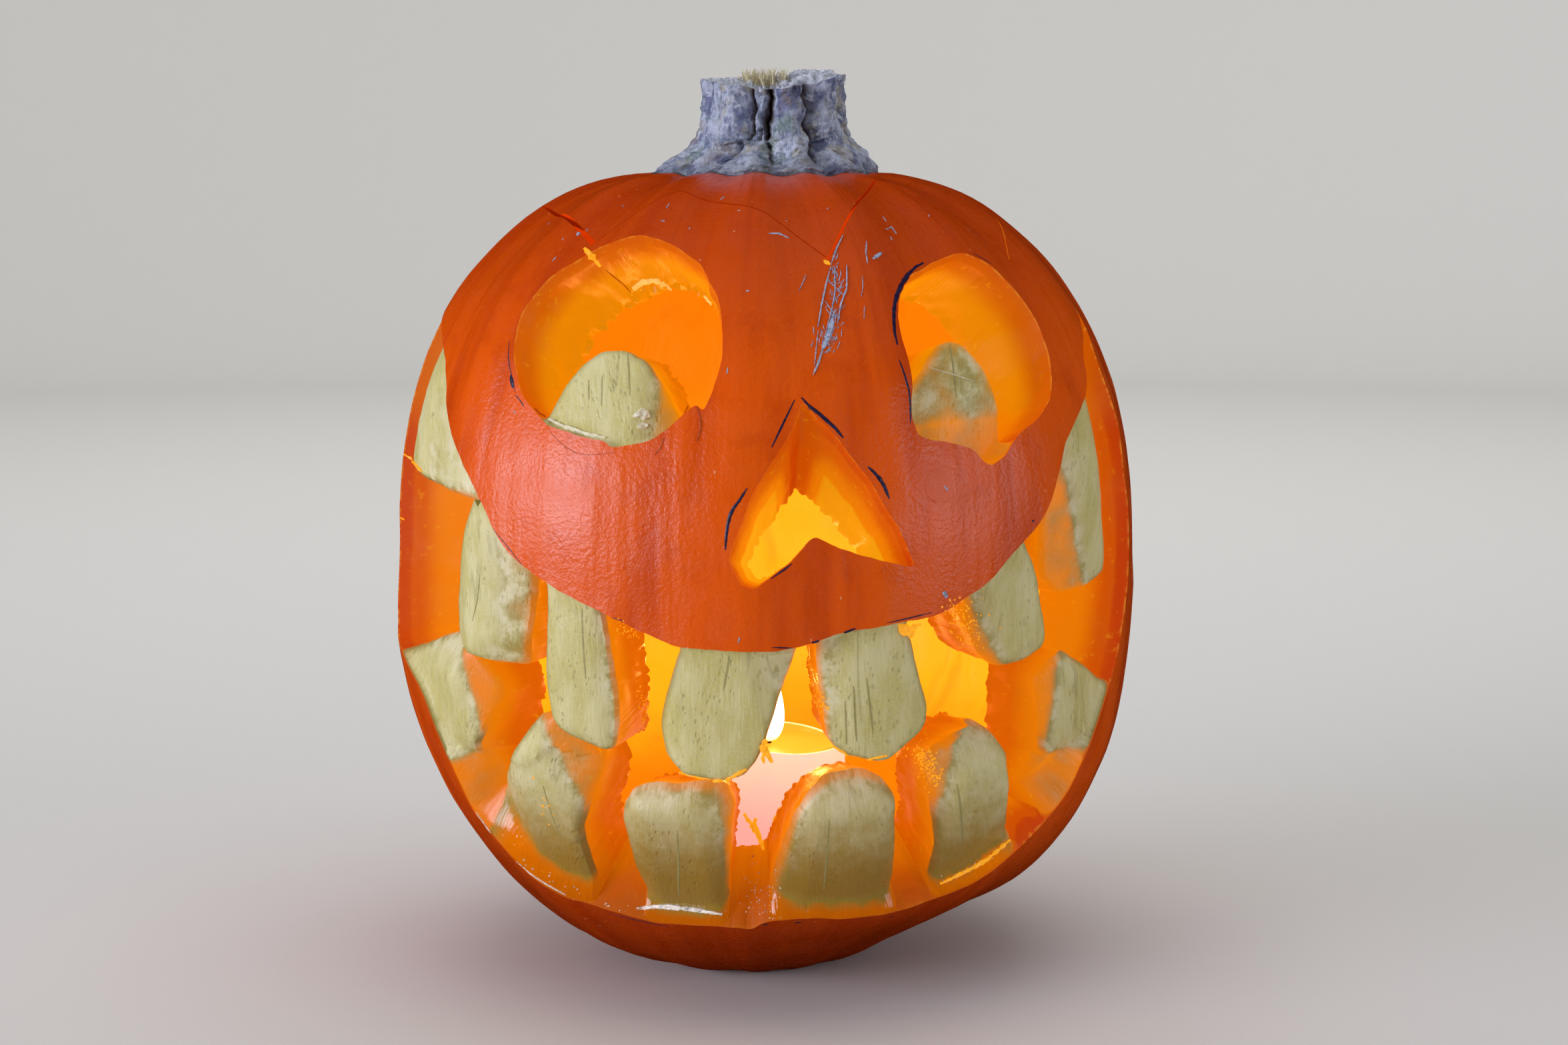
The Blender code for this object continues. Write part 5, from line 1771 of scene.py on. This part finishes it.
def new_group(name, inputs, outputs):
    """An empty shader node group with named sockets, and its input and output nodes."""
    tree = bpy.data.node_groups.new(name, "ShaderNodeTree")
    for label, kind, default in inputs:
        socket = tree.interface.new_socket(label, in_out="INPUT", socket_type=kind)
        if default is not None:
            socket.default_value = default
    for label, kind in outputs:
        tree.interface.new_socket(label, in_out="OUTPUT", socket_type=kind)
    return tree, tree.nodes.new("NodeGroupInput").outputs, tree.nodes.new("NodeGroupOutput").inputs


# Heights in metres: the glow rises and falls about the flame's level, and the eyes begin
FLAME_LEVEL_FROM, FLAME_LEVEL_TO = (0.040, 0.085), (0.150, 0.190)
EYES_FROM = (0.168, 0.19)


def glow_group(colours):
    """Light seen through the flesh: deep under the skin, golden level with the flame."""
    sockets = [("Depth", FLOAT, 0.0), ("Unevenness", FLOAT, 0.16)]
    tree, given, out = new_group("Lantern glow", sockets, [("Color", COLOUR)])
    place = object_place(tree)
    drift = clouds(tree, place, 34.0, 4.0)
    depth = frayed(tree, given["Depth"], drift, given["Unevenness"])
    height = frayed(tree, height_of(tree, place), drift, 0.03)
    level = both(tree, (height, *FLAME_LEVEL_FROM), (height, *FLAME_LEVEL_TO, 1, 0))
    lit = coats(
        tree, colours.glow_deep,
        (fade(tree, depth, 0.0, 0.12), colours.glow),
        (fade(tree, depth, 0.2, 0.85), colours.glow_bright),
        (times(tree, level, fade(tree, depth, 0.25, 0.85, 0, 0.5)), linear(250, 148, 2)),
        (times(tree, level, fade(tree, given["Depth"], 0.86, 1.0)), colours.glow_hot),
    )
    eyes = blend(tree, fade(tree, depth, 0.1, 0.8), colours.glow_eyes, linear(238, 148, 0))
    high = both(tree, (height, *EYES_FROM), (depth, -0.1, 0.06))
    put(tree, out["Color"], blend(tree, high, lit, eyes))
    return tree


def grain_group():
    """Fine flesh grain: a mask of pale flecks and a height for the bump."""
    sockets = [("Vector", VECTOR, None), ("Scale", FLOAT, 400.0)]
    tree, given, out = new_group("Flesh grain", sockets, [("Flecks", FLOAT), ("Height", FLOAT)])
    fine = clouds(tree, given["Vector"], given["Scale"], 4.0, 0.65)
    coarse = clouds(tree, given["Vector"], times(tree, given["Scale"], 0.3), 2.0)
    put(tree, out["Flecks"], fade(tree, fine, 0.60, 0.72))
    put(tree, out["Height"], plus(tree, times(tree, fine, 0.6), coarse))
    return tree


def new_material(name, roughness=0.5, specular=0.5, strength=0.0):
    material = bpy.data.materials.new(name)
    material.use_nodes = True
    shader = material.node_tree.nodes["Principled BSDF"]
    shader.inputs["Roughness"].default_value = roughness
    shader.inputs["Specular IOR Level"].default_value = specular
    shader.inputs["Emission Strength"].default_value = strength
    return material, material.node_tree, shader


def feed(tree, shader, **sockets):
    """Links or sets the shader's sockets, given with underscores for spaces."""
    for name, value in sockets.items():
        put(tree, shader.inputs[name.replace("_", " ")], value)


def bump(tree, height, distance, strength=1.0, **under):
    inputs = {"Height": height, "Distance": distance, "Strength": strength, **under}
    return add(tree, "ShaderNodeBump", inputs).outputs[0]


def skin_material(colours):
    """The rind: bands down its ribs, mottling, flecks, a pebbled waxy sheen, and painted shade that
    darkens it low down and over its top.
    """
    material, tree, shader = new_material("waxy_skin", specular=0.36)
    place = object_place(tree)
    height = height_of(tree, place)
    level = stretched(tree, place, (1, 1, 0))
    level = add(tree, "ShaderNodeVectorMath", {0: level}, operation="NORMALIZE").outputs[0]
    around = stretched(tree, level, (0.12, 0.12, 0))
    bands = moved(tree, around, stretched(tree, place, (0, 0, 0.14)))
    bands = clouds(tree, bands, 62.0, 3.0, 0.5, 0.15)
    mottle = clouds(tree, place, 75.0, 5.0, 0.62)
    freckles = clouds(tree, place, 1150.0, 2.0, 0.6)
    specks = cells(tree, stretched(tree, place, (1, 1, 0.6)), 210.0)
    specks = both(tree, (specks, 0.085, 0.045), (clouds(tree, place, 26.0, 2.0), 0.52, 0.62))
    dots = cells(tree, place, 300.0)
    dots = both(tree, (dots, 0.09, 0.05), (clouds(tree, place, 31.0, 2.0), 0.50, 0.64))
    rind = coats(
        tree, colours.skin_deep,
        (fade(tree, bands, 0.30, 0.56, 0.35, 1), colours.skin),
        (fade(tree, bands, 0.56, 0.74, 0, 0.4), colours.skin_pale),
        (fade(tree, mottle, 0.50, 0.74, 0, 0.35), colours.skin_deep),
        # Painted shade: darker low down, towards the bottom
        (fade(tree, height, 0.022, 0.07, 0.8, 0), linear(150, 44, 2)),
        # Painted shade: darker over the top
        (fade(tree, height, 0.185, 0.245, 0, 0.7), linear(172, 50, 0)),
        (fade(tree, freckles, 0.60, 0.70, 0, 0.3), colours.skin_pale),
        (times(tree, specks, 0.6), linear(238, 168, 120)),
        (times(tree, dots, 0.6), linear(104, 34, 6)),
    )
    pebbled = bump(tree, clouds(tree, place, 760.0, 3.0, 0.6), 0.00036, 0.6)
    roughness = fade(tree, clouds(tree, place, 120.0, 4.0), 0.3, 0.7, 0.23, 0.33)
    normal = bump(tree, bands, 0.0022, 0.6, Normal=pebbled)
    feed(tree, shader, Base_Color=rind, Roughness=roughness, Normal=normal)
    return material


def flesh_material(colours, glow, grain):
    """Cut flesh: fibrous and pored cream where it is thick, with a faint painted glow, glowing where
    light comes through, and painted shade along the fronts' rounded edges, low down and in the lid's
    shut cut.
    """
    material, tree, shader = new_material("cut_flesh", specular=0.4, strength=0.7)
    spot, place = attribute(tree, "spot", "Vector"), object_place(tree)
    depth, shut = attribute(tree, "depth"), attribute(tree, "shut")
    pores = pore_mask(tree, spot)
    pith = clouds(tree, spot, 300.0, 4.0, 0.62)
    soft = clouds(tree, spot, 150.0, 5.0, 0.7)
    powder = clouds(tree, spot, 1300.0, 3.0, 0.7)
    # The height, frayed, by which painted shade darkens the fronts and the glow low down
    sunk = frayed(tree, height_of(tree, place), soft, 0.02)
    rind = frayed(tree, attribute(tree, "cream"), pith, 0.16)
    # Whitish mottling: the flesh's own pale tone, stronger where the pale mark paints light partly
    # coming through
    whitish = plus(tree, times(tree, attribute(tree, "pale"), 0.75), 0.12)
    whitish = maths(tree, "MULTIPLY", whitish, fade(tree, soft, 0.36, 0.72, 0.15, 1), clamp=True)
    # Painted shade: darker olive along the fronts' rounded rims, where the cream mark is low
    thin = both(tree, (rind, 0.35, 0.95, 0.8, 0), (whitish, 0, 0.5, 1, 0))
    cream = coats(
        tree, cream_colour(tree, colours, spot),
        (times(tree, pores, 0.45), colours.peeled_olive),
        (whitish, linear(222, 212, 182)),
        (fade(tree, powder, 0.48, 0.62, 0, 0.4), linear(206, 200, 164)),
        # Painted shade: the fronts darker and more orange-olive low down
        (fade(tree, sunk, 0.045, 0.080, 0.95, 0), linear(146, 104, 16)),
        (thin, linear(140, 122, 46)),
    )
    shown = fade(tree, rind, 0.0, 0.5)
    glowing = add(tree, "ShaderNodeGroup", {"Depth": depth}, node_tree=glow).outputs["Color"]
    grain = add(tree, "ShaderNodeGroup", {"Vector": place}, node_tree=grain).outputs
    # Painted shade in the lid's cut: its glow darker red where the cut is shut
    closed = blend(tree, fade(tree, shut, SEAM_DARK, 1.0), linear(216, 58, 0), linear(140, 30, 0))
    edge = both(tree, (depth, 0.0, 0.008, 0.55, 0), (pith, 0.42, 0.60))
    lit = coats(
        tree, glowing,
        (times(tree, grain["Flecks"], 0.3), colours.glow_hot),
        (fade(tree, shut, 0.0, SEAM_DARK), closed),
        (times(tree, edge, fade(tree, shut, 0.0, 0.1, 1, 0)), linear(236, 170, 60)),
        # Painted shade: the glow darker red low down
        (fade(tree, sunk, 0.030, 0.058, 0.85, 0), linear(144, 72, 2)),
    )
    # Painted shade: the flesh's base darker where the lid's cut is shut
    through = blend(tree, shut, colours.flesh, linear(96, 26, 4))
    fibres = clouds(tree, stretched(tree, spot, (1, 0.16, 1)), 900.0, 3.0, 0.6)
    height = plus(tree, fibres, times(tree, pores, -0.9))
    height = plus(tree, height, times(tree, grain["Height"], 0.3))
    feed(
        tree, shader, Base_Color=blend(tree, shown, through, cream),
        # A faint painted glow stays on the peeled fronts
        Emission_Color=blend(tree, shown, lit, (0.045, 0.036, 0.010)),
        Roughness=fade(tree, attribute(tree, "wet"), 0.1, 0.9, 0.42, 0.08),
        Normal=bump(tree, height, 0.00035, 0.6),
    )
    return material


def cream_colour(tree, colours, spot):
    """The peeled flesh: soft clouds, fine fibres lengthwise and a few thin veins."""
    broad = clouds(tree, stretched(tree, spot, (1, 0.45, 1)), 95.0, 3.0, 0.55)
    fibres = clouds(tree, stretched(tree, spot, (1, 0.13, 1)), 1000.0, 3.0, 0.6, 0.3)
    contour = clouds(tree, stretched(tree, spot, (1, 0.07, 1)), 70.0, 2.0)
    off = maths(tree, "ABSOLUTE", maths(tree, "SUBTRACT", contour, 0.5))
    patches = clouds(tree, spot, 48.0, 2.0)
    return coats(
        tree, colours.peeled,
        (fade(tree, broad, 0.38, 0.68, 0, 0.7), colours.peeled_pale),
        (fade(tree, fibres, 0.50, 0.70, 0, 0.35), colours.peeled_pale),
        (fade(tree, fibres, 0.32, 0.50, 0.16, 0), colours.peeled_olive),
        (both(tree, (off, 0.002, 0.009, 0.5, 0), (patches, 0.50, 0.62)), colours.peeled_olive),
    )


def pore_mask(tree, spot):
    """Pores in loose rows down the peeled flesh."""
    pores = cells(tree, stretched(tree, spot, (1, 0.6, 1)), 620.0)
    rows = clouds(tree, stretched(tree, spot, (1, 0.2, 1)), 260.0, 1.0)
    patches = clouds(tree, spot, 60.0, 2.0)
    shown = both(tree, (rows, 0.40, 0.56), (patches, 0.36, 0.52))
    return times(tree, fade(tree, pores, 0.36, 0.14), shown)


def cavity_material(colours, glow, grain):
    """The scraped inside, lit by the candle: golden level with it and orange further up."""
    material, tree, shader = new_material("scraped_flesh", specular=0.3, strength=0.85)
    place = object_place(tree)
    strings = clouds(tree, stretched(tree, place, (1, 1, 0.35)), 70.0, 4.0, 0.6, 0.8)
    glowing = add(tree, "ShaderNodeGroup", {"Depth": 1.0}, node_tree=glow).outputs["Color"]
    inputs = {"Vector": place, "Scale": 250.0}
    grain = add(tree, "ShaderNodeGroup", inputs, node_tree=grain).outputs["Height"]
    lit = coats(
        tree, glowing,
        (fade(tree, height_of(tree, place), 0.145, 0.185), linear(255, 122, 0)),
        (fade(tree, strings, 0.5, 0.75, 0, 0.25), colours.glow),
    )
    normal = bump(tree, plus(tree, strings, times(tree, grain, 0.3)), 0.0016, 0.6)
    feed(tree, shader, Base_Color=colours.flesh, Emission_Color=lit, Normal=normal)
    return material


# Stains on the stem: noise scale, where in the noise they start, how strong, and colour
STEM_STAINS = (
    (110.0, 0.50, 0.75, (98, 104, 146)), (70.0, 0.54, 0.6, (138, 122, 108)),
    (95.0, 0.56, 0.55, (190, 180, 150)), (80.0, 0.57, 0.6, (92, 116, 96)),
)


def stem_material(colours):
    """Dry cork: crevices brown-black partly with painted shade, painted shade and highlight over its
    relief, darker towards its foot, flaking pale crust, stains of brown, yellow, blue and green.
    """
    material, tree, shader = new_material("stem_cork", roughness=0.85, specular=0.2)
    place = object_place(tree)
    bark = clouds(tree, stretched(tree, place, (1, 1, 0.4)), 300.0, 5.0, 0.65, 0.4)
    crust = clouds(tree, place, 420.0, 5.0, 0.7)
    blotch = clouds(tree, place, 120.0, 4.0, 0.6)
    stains = []
    for n, (scale, low, share, stain) in enumerate(STEM_STAINS):
        found = clouds(tree, moved(tree, place, (n * 0.31, 0.17, n * 0.23)), scale, 4.0, 0.6)
        stains.append((fade(tree, found, low, low + 0.09, 0, share), linear(*stain)))
    chips = times(tree, both(tree, (crust, 0.52, 0.60), (blotch, 0.44, 0.60)), 0.8)
    # The wet mark holds the stem's relief, for painted shade and highlight; the shut mark how deep its
    # crevices are
    relief = frayed(tree, attribute(tree, "wet"), crust, 0.5)
    hollow = frayed(tree, attribute(tree, "shut"), crust, 0.5)
    pale = coats(
        tree, linear(168, 170, 184),
        (fade(tree, crust, 0.35, 0.65), linear(226, 230, 242)),
        (attribute(tree, "cream"), linear(240, 228, 190)),
    )
    cork = coats(
        tree, colours.stem, (fade(tree, bark, 0.36, 0.62), colours.stem_pale), *stains,
        (chips, linear(218, 222, 238)),
        # Painted shade: darker towards the stem's foot
        (fade(tree, attribute(tree, "depth"), 0.0, 0.3, 0.5, 0), linear(92, 92, 104)),
        # Painted shade in the dips of the relief and painted highlight on its knobs
        (fade(tree, relief, 0.24, 0.52, 0.85, 0), linear(58, 54, 66)),
        (fade(tree, relief, 0.58, 0.88, 0, 0.55), linear(206, 212, 232)),
        # The crevices: brown, then brown-black, partly their own colour and partly painted shade
        (fade(tree, hollow, 0.22, 0.5, 0, 0.75), linear(98, 78, 68)),
        (fade(tree, hollow, 0.5, 0.9, 0, 0.9), colours.stem_crevice_brown_and_shade),
        (times(tree, attribute(tree, "pale"), 0.92), pale),
    )
    height = plus(tree, bark, times(tree, crust, 0.8))
    feed(tree, shader, Base_Color=cork, Normal=bump(tree, height, 0.0020))
    return material


def wax_material(colours):
    """Pinkish wax, lit from within near its rim, with a painted golden glow on its pool."""
    material, tree, shader = new_material("milky_wax", roughness=0.35, strength=0.9)
    place = object_place(tree)
    pool = attribute(tree, "pale")
    milky = clouds(tree, place, 140.0)
    rise = fade(tree, height_of(tree, place), CANDLE_BOX[0].z + 0.01, CANDLE_BOX[1].z)
    # Painted glow: the wax lit from within, brighter higher up, and golden on its pool
    emission = coats(
        tree, linear(214, 160, 164), (rise, linear(252, 204, 184)), (pool, linear(252, 176, 40))
    )
    # The pool's base is darkened under its painted glow
    base = coats(
        tree, colours.wax,
        (fade(tree, milky, 0.4, 0.7, 0, 0.5), linear(206, 150, 154)), (pool, linear(70, 40, 12)),
    )
    normal = bump(tree, milky, 0.0006, 0.4)
    feed(tree, shader, Base_Color=base, Emission_Color=emission, Normal=normal)
    return material


def wick_material():
    """Charred cotton with a coarse twist."""
    material, tree, shader = new_material("charred_cotton", roughness=0.9, specular=0.2)
    twist = clouds(tree, stretched(tree, object_place(tree), (1, 1, 0.4)), 900.0)
    base = blend(tree, twist, linear(20, 16, 14), linear(64, 52, 44))
    feed(tree, shader, Base_Color=base, Normal=bump(tree, twist, 0.0004))
    return material


def flame_material():
    """Golden at its foot and its tip, nearly white between."""
    material, tree, shader = new_material("flame_glow", roughness=1.0, specular=0.0, strength=4.0)
    up = attribute(tree, "depth")
    emission = coats(
        tree, linear(255, 190, 90),
        (fade(tree, up, 0.0, 0.25), linear(255, 246, 214)),
        (fade(tree, up, 0.6, 1.0), linear(255, 196, 70)),
    )
    feed(tree, shader, Base_Color=linear(255, 220, 150), Emission_Color=emission)
    return material


def mark_material(name, base, roughness, lit=(0.0, 0.0, 0.0), strength=0.0, darkest=0.45):
    """A mark's own material: one mottled colour, glowing where light comes through."""
    material, tree, shader = new_material(name, roughness=roughness, strength=strength)
    mottle = clouds(tree, object_place(tree), 900.0, 3.0, 0.6)
    darker = [part * darkest for part in base]
    feed(
        tree, shader, Base_Color=blend(tree, fade(tree, mottle, 0.3, 0.6), darker, base),
        Normal=bump(tree, mottle, 0.0003), Emission_Color=lit,
    )
    return material


# ---------------------------------------------------------------- the stage


# The floor, in metres: how far it is flat, the radius that it curves up by, and its height
FLOOR_REACH, FLOOR_BEND, BACKDROP_HIGH = 2.4, 0.8, 3.5
BEND_STEPS, FLOOR_SIDES = 24, 96
# Studio lights: name, place, what each is aimed at, size, tint, spread, and whether gloss
# reflects it
COOL, PLAIN = linear(236, 240, 255), linear(255, 253, 250)
NARROW, WIDE = math.radians(75), math.pi
MIDDLE = (0, 0, 0.13)
LIGHTS = (
    ("key", (-2.1, -1.12, 0.50), MIDDLE, (1.9, 0.85), COOL, NARROW, True),
    ("fill", (2.05, -1.25, 0.48), MIDDLE, (1.45, 0.85), COOL, NARROW, True),
    ("top", (0.1, 0, 1.5), MIDDLE, (1.4, 1.4), PLAIN, WIDE, False),
    ("wall", (0, 0.9, 1.9), (0, 3.0, 0.7), (2.4, 0.8), PLAIN, WIDE, False),
)
ROOM_COLOUR = (0.93, 0.95, 1.0, 1)
SENSOR_WIDTH, NEAREST_SHOWN = 36, 0.01
FLAME_COLOUR = linear(255, 176, 84)


def make_floor(colours):
    """A plain pale floor that curves up into a backdrop all round."""
    material, tree, shader = new_material("plain_floor", roughness=0.75, specular=0.2)
    feed(tree, shader, Base_Color=colours.floor)
    profile = [(FLOOR_REACH, 0.0)]
    for i in range(1, BEND_STEPS + 1):
        a = math.radians(90) * i / BEND_STEPS
        side, up = math.sin(a), 1 - math.cos(a)
        profile.append((FLOOR_REACH + FLOOR_BEND * side, FLOOR_BEND * up))
    profile.append((FLOOR_REACH + FLOOR_BEND, BACKDROP_HIGH))
    points = [(0, 0, 0)]
    for radius, z in profile:
        for k in range(FLOOR_SIDES):
            a = math.tau * k / FLOOR_SIDES
            points.append((radius * math.sin(a), -radius * math.cos(a), z))
    faces = []
    for a, b in ring_edges(1, FLOOR_SIDES):
        faces.append((0, a, b))
        for ring in range(0, FLOOR_SIDES * (len(profile) - 1), FLOOR_SIDES):
            faces.append((a + ring, a + ring + FLOOR_SIDES, b + ring + FLOOR_SIDES, b + ring))
    mesh = bpy.data.meshes.new("floor")
    mesh.from_pydata(points, [], faces)
    mesh.shade_smooth()
    mesh.materials.append(material)
    floor = bpy.data.objects.new("floor", mesh)
    floor.visible_glossy = False
    bpy.context.scene.collection.objects.link(floor)
    return floor


def eye_place(stage):
    """Where the lantern is looked at from."""
    back, up = math.cos(stage.elevation), math.sin(stage.elevation)
    height = stage.target_height + stage.distance * up
    return Vector((stage.target_side, -stage.distance * back, height))


def put_lamp(name, light, place):
    """Links a light that shines and isn't itself seen."""
    lamp = bpy.data.objects.new(name, light)
    lamp.location = place
    lamp.visible_camera = False
    bpy.context.scene.collection.objects.link(lamp)
    return lamp


def aim(piece, target):
    way = Vector(target) - piece.location
    piece.rotation_euler = way.to_track_quat("-Z", "Y").to_euler()


def soft_light(name, place, target, size, tint, spread, glossy, power):
    """A large rectangular studio light."""
    light = bpy.data.lights.new(name, "AREA")
    light.shape = "RECTANGLE"
    light.size, light.size_y = size
    light.energy = power
    light.color = tint
    light.spread = spread
    lamp = put_lamp(name, light, place)
    aim(lamp, target)
    lamp.visible_glossy = glossy


def flame_light(sizes, power):
    """The flame's own light, a third of the way up it."""
    light = bpy.data.lights.new("flame_light", "POINT")
    light.energy = power
    light.color = FLAME_COLOUR
    light.shadow_soft_size = sizes.flame_radius
    place = (CANDLE_BOX[0] + CANDLE_BOX[1]) / 2
    place.z = WICK_BOX[1].z + sizes.flame_height * 0.35
    put_lamp("flame_light", light, place)


# ---------------------------------------------------------------- operators


class LanternOperator(bpy.types.Operator):
    """What every step of the lantern shares."""

    bl_options = {"REGISTER", "UNDO"}

    @property
    def sizes(self):
        return bpy.context.scene.lantern_sizes

    @property
    def colours(self):
        return bpy.context.scene.lantern_colours

    def flesh_materials(self):
        """The pumpkin's own materials, made once and shared by the body and the lid."""
        made = bpy.data.materials
        if "waxy_skin" not in made:
            glow, grain = glow_group(self.colours), grain_group()
            skin_material(self.colours)
            flesh_material(self.colours, glow, grain)
            cavity_material(self.colours, glow, grain)
            stem_material(self.colours)
        names = ("waxy_skin", "cut_flesh", "scraped_flesh", "stem_cork")
        return [made[name] for name in names]


class LANTERN_OT_body(LanternOperator):
    """Carve the pumpkin's body with its face"""

    bl_idname = "lantern.body"
    bl_label = "Pumpkin body"

    def execute(self, context):
        piece = make_shell(Form(self.sizes), self.flesh_materials())
        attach(piece, "root")
        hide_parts("shell")
        return {"FINISHED"}


class LANTERN_OT_lid(LanternOperator):
    """Cut the lid and grow its stem"""

    bl_idname = "lantern.lid"
    bl_label = "Lid and stem"

    def execute(self, context):
        form = Form(self.sizes)
        piece = make_lid(form, self.flesh_materials())
        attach(piece, "root")
        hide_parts("lid")
        fibres = make_stem_fibres(form, self.flesh_materials()[STEM_SLOT])
        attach(fibres, "root")
        return {"FINISHED"}


class LANTERN_OT_candle(LanternOperator):
    """Stand the candle in the cavity and light it"""

    bl_idname = "lantern.candle"
    bl_label = "Candle and flame"

    def execute(self, context):
        wax = make_candle(self.sizes, wax_material(self.colours))
        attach(wax, "root")
        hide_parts("candle")
        wick = make_wick(wick_material())
        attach(wick, "root")
        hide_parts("wick")
        flame = make_flame(self.sizes, flame_material())
        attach(flame, "root")
        flame_light(self.sizes, context.scene.lantern_stage.flame_power)
        return {"FINISHED"}


class LANTERN_OT_marks(LanternOperator):
    """Add the scar, pen marks, torn flesh, crumbs and juice"""

    bl_idname = "lantern.marks"
    bl_label = "Scar, ink and crumbs"

    def execute(self, context):
        form, colours = Form(self.sizes), self.colours
        pieces = [bpy.data.objects[name] for name in ("pumpkin_body", "pumpkin_lid")]
        seen = Seen(form, eye_place(context.scene.lantern_stage), *pieces)
        groups = (
            ("scar", SCAR + hatching(), 0.6, ON_SKIN, "pumpkin_rind",
             mark_material("scar_cork", tuple(colours.scar), 0.7)),
            ("pen_marks", INK, 0.35, ON_SKIN, "ink",
             mark_material("pen_ink", tuple(colours.ink), 0.4)),
            # Brown threads and cracks, their own colour, with a painted glow
            ("brown_threads", RUST, 0.5, ANYWHERE, "pumpkin_rind",
             mark_material("browned_rind", linear(140, 52, 4), 0.6, linear(150, 60, 0), 0.7)),
            ("olive_veins", VEINS, 0.3, ANYWHERE, "peeled_flesh",
             mark_material("olive_fibre", linear(166, 154, 94), 0.5, darkest=0.85)),
            ("torn_pulp", PULP, 0.9, ANYWHERE, "pumpkin_flesh",
             mark_material("lit_pulp", linear(200, 130, 30), 0.35, linear(246, 166, 24), 0.7)),
            ("eye_rim_pith", EYE_RIM, 0.9, ANYWHERE, "pumpkin_flesh",
             mark_material("lit_pith", linear(220, 170, 110), 0.4, linear(250, 184, 90), 0.75)),
            ("torn_pith", PITH, 0.8, ANYWHERE, "peeled_flesh",
             mark_material("dry_pith", linear(240, 232, 200), 0.6, darkest=0.8)),
            # Juice: glossy ribbons and beads, painted whitish as highlights
            ("juice", WET_GLINTS, 0.5, ANYWHERE, "peeled_flesh",
             mark_material("clear_juice", linear(250, 236, 220), 0.08)),
        )
        for name, marks, ragged, most, slot, material in groups:
            solid = Solid()
            draw_marks(solid, seen, marks, ragged, most)
            if name == "torn_pulp":
                strew(solid, seen, CRUMBS, CRUMB_SIZE, 11)
                make_scraps(solid, seen)
            if name == "juice":
                strew(solid, seen, GLINT_BEADS, BEAD_SIZE, 12)
            piece = solid.build(name, [material], TURNED_SHARP)
            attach(piece, "root")
        return {"FINISHED"}


class LANTERN_OT_stage(LanternOperator):
    """Set up the plain floor, the soft lights and the camera"""

    bl_idname = "lantern.stage"
    bl_label = "Stage"

    def execute(self, context):
        stage = context.scene.lantern_stage
        make_floor(self.colours)
        for name, *how in LIGHTS:
            soft_light(f"{name}_light", *how, getattr(stage, f"{name}_power"))
        world = bpy.data.worlds.new("studio")
        world.use_nodes = True
        room = world.node_tree.nodes["Background"].inputs
        room["Color"].default_value = ROOM_COLOUR
        room["Strength"].default_value = stage.room
        world.cycles_visibility.glossy = False
        context.scene.world = world
        context.scene.view_settings.view_transform = "Standard"
        camera = bpy.data.cameras.new("camera")
        camera.lens = stage.lens
        camera.sensor_width = SENSOR_WIDTH
        camera.clip_start = NEAREST_SHOWN
        eye = bpy.data.objects.new("camera", camera)
        eye.location = eye_place(stage)
        aim(eye, (stage.target_side, 0, stage.target_height))
        context.scene.collection.objects.link(eye)
        context.scene.camera = eye
        return {"FINISHED"}


STEPS = (
    LANTERN_OT_body, LANTERN_OT_lid, LANTERN_OT_candle, LANTERN_OT_marks, LANTERN_OT_stage,
)


class LANTERN_PT_panel(bpy.types.Panel):
    """Lists the steps and what they can be given"""

    bl_idname = "LANTERN_PT_panel"
    bl_label = "Carved Pumpkin Lantern"
    bl_space_type = "VIEW_3D"
    bl_region_type = "UI"
    bl_category = "Lantern"

    def draw(self, context):
        for step in STEPS:
            self.layout.operator(step.bl_idname)
        for group in ("lantern_sizes", "lantern_colours", "lantern_stage"):
            box = self.layout.box()
            values = getattr(context.scene, group)
            for name in values.__annotations__:
                box.prop(values, name)


CLASSES = (LanternSizes, LanternColours, LanternStage, *STEPS, LANTERN_PT_panel)


def register():
    for cls in CLASSES:
        bpy.utils.register_class(cls)
    bpy.types.Scene.lantern_sizes = bpy.props.PointerProperty(type=LanternSizes)
    bpy.types.Scene.lantern_colours = bpy.props.PointerProperty(type=LanternColours)
    bpy.types.Scene.lantern_stage = bpy.props.PointerProperty(type=LanternStage)


def unregister():
    del bpy.types.Scene.lantern_sizes
    del bpy.types.Scene.lantern_colours
    del bpy.types.Scene.lantern_stage
    for cls in reversed(CLASSES):
        bpy.utils.unregister_class(cls)


def main():
    register()
    for step in STEPS:
        group, name = step.bl_idname.split(".")
        getattr(getattr(bpy.ops, group), name)()


if __name__ == "__main__":
    main()
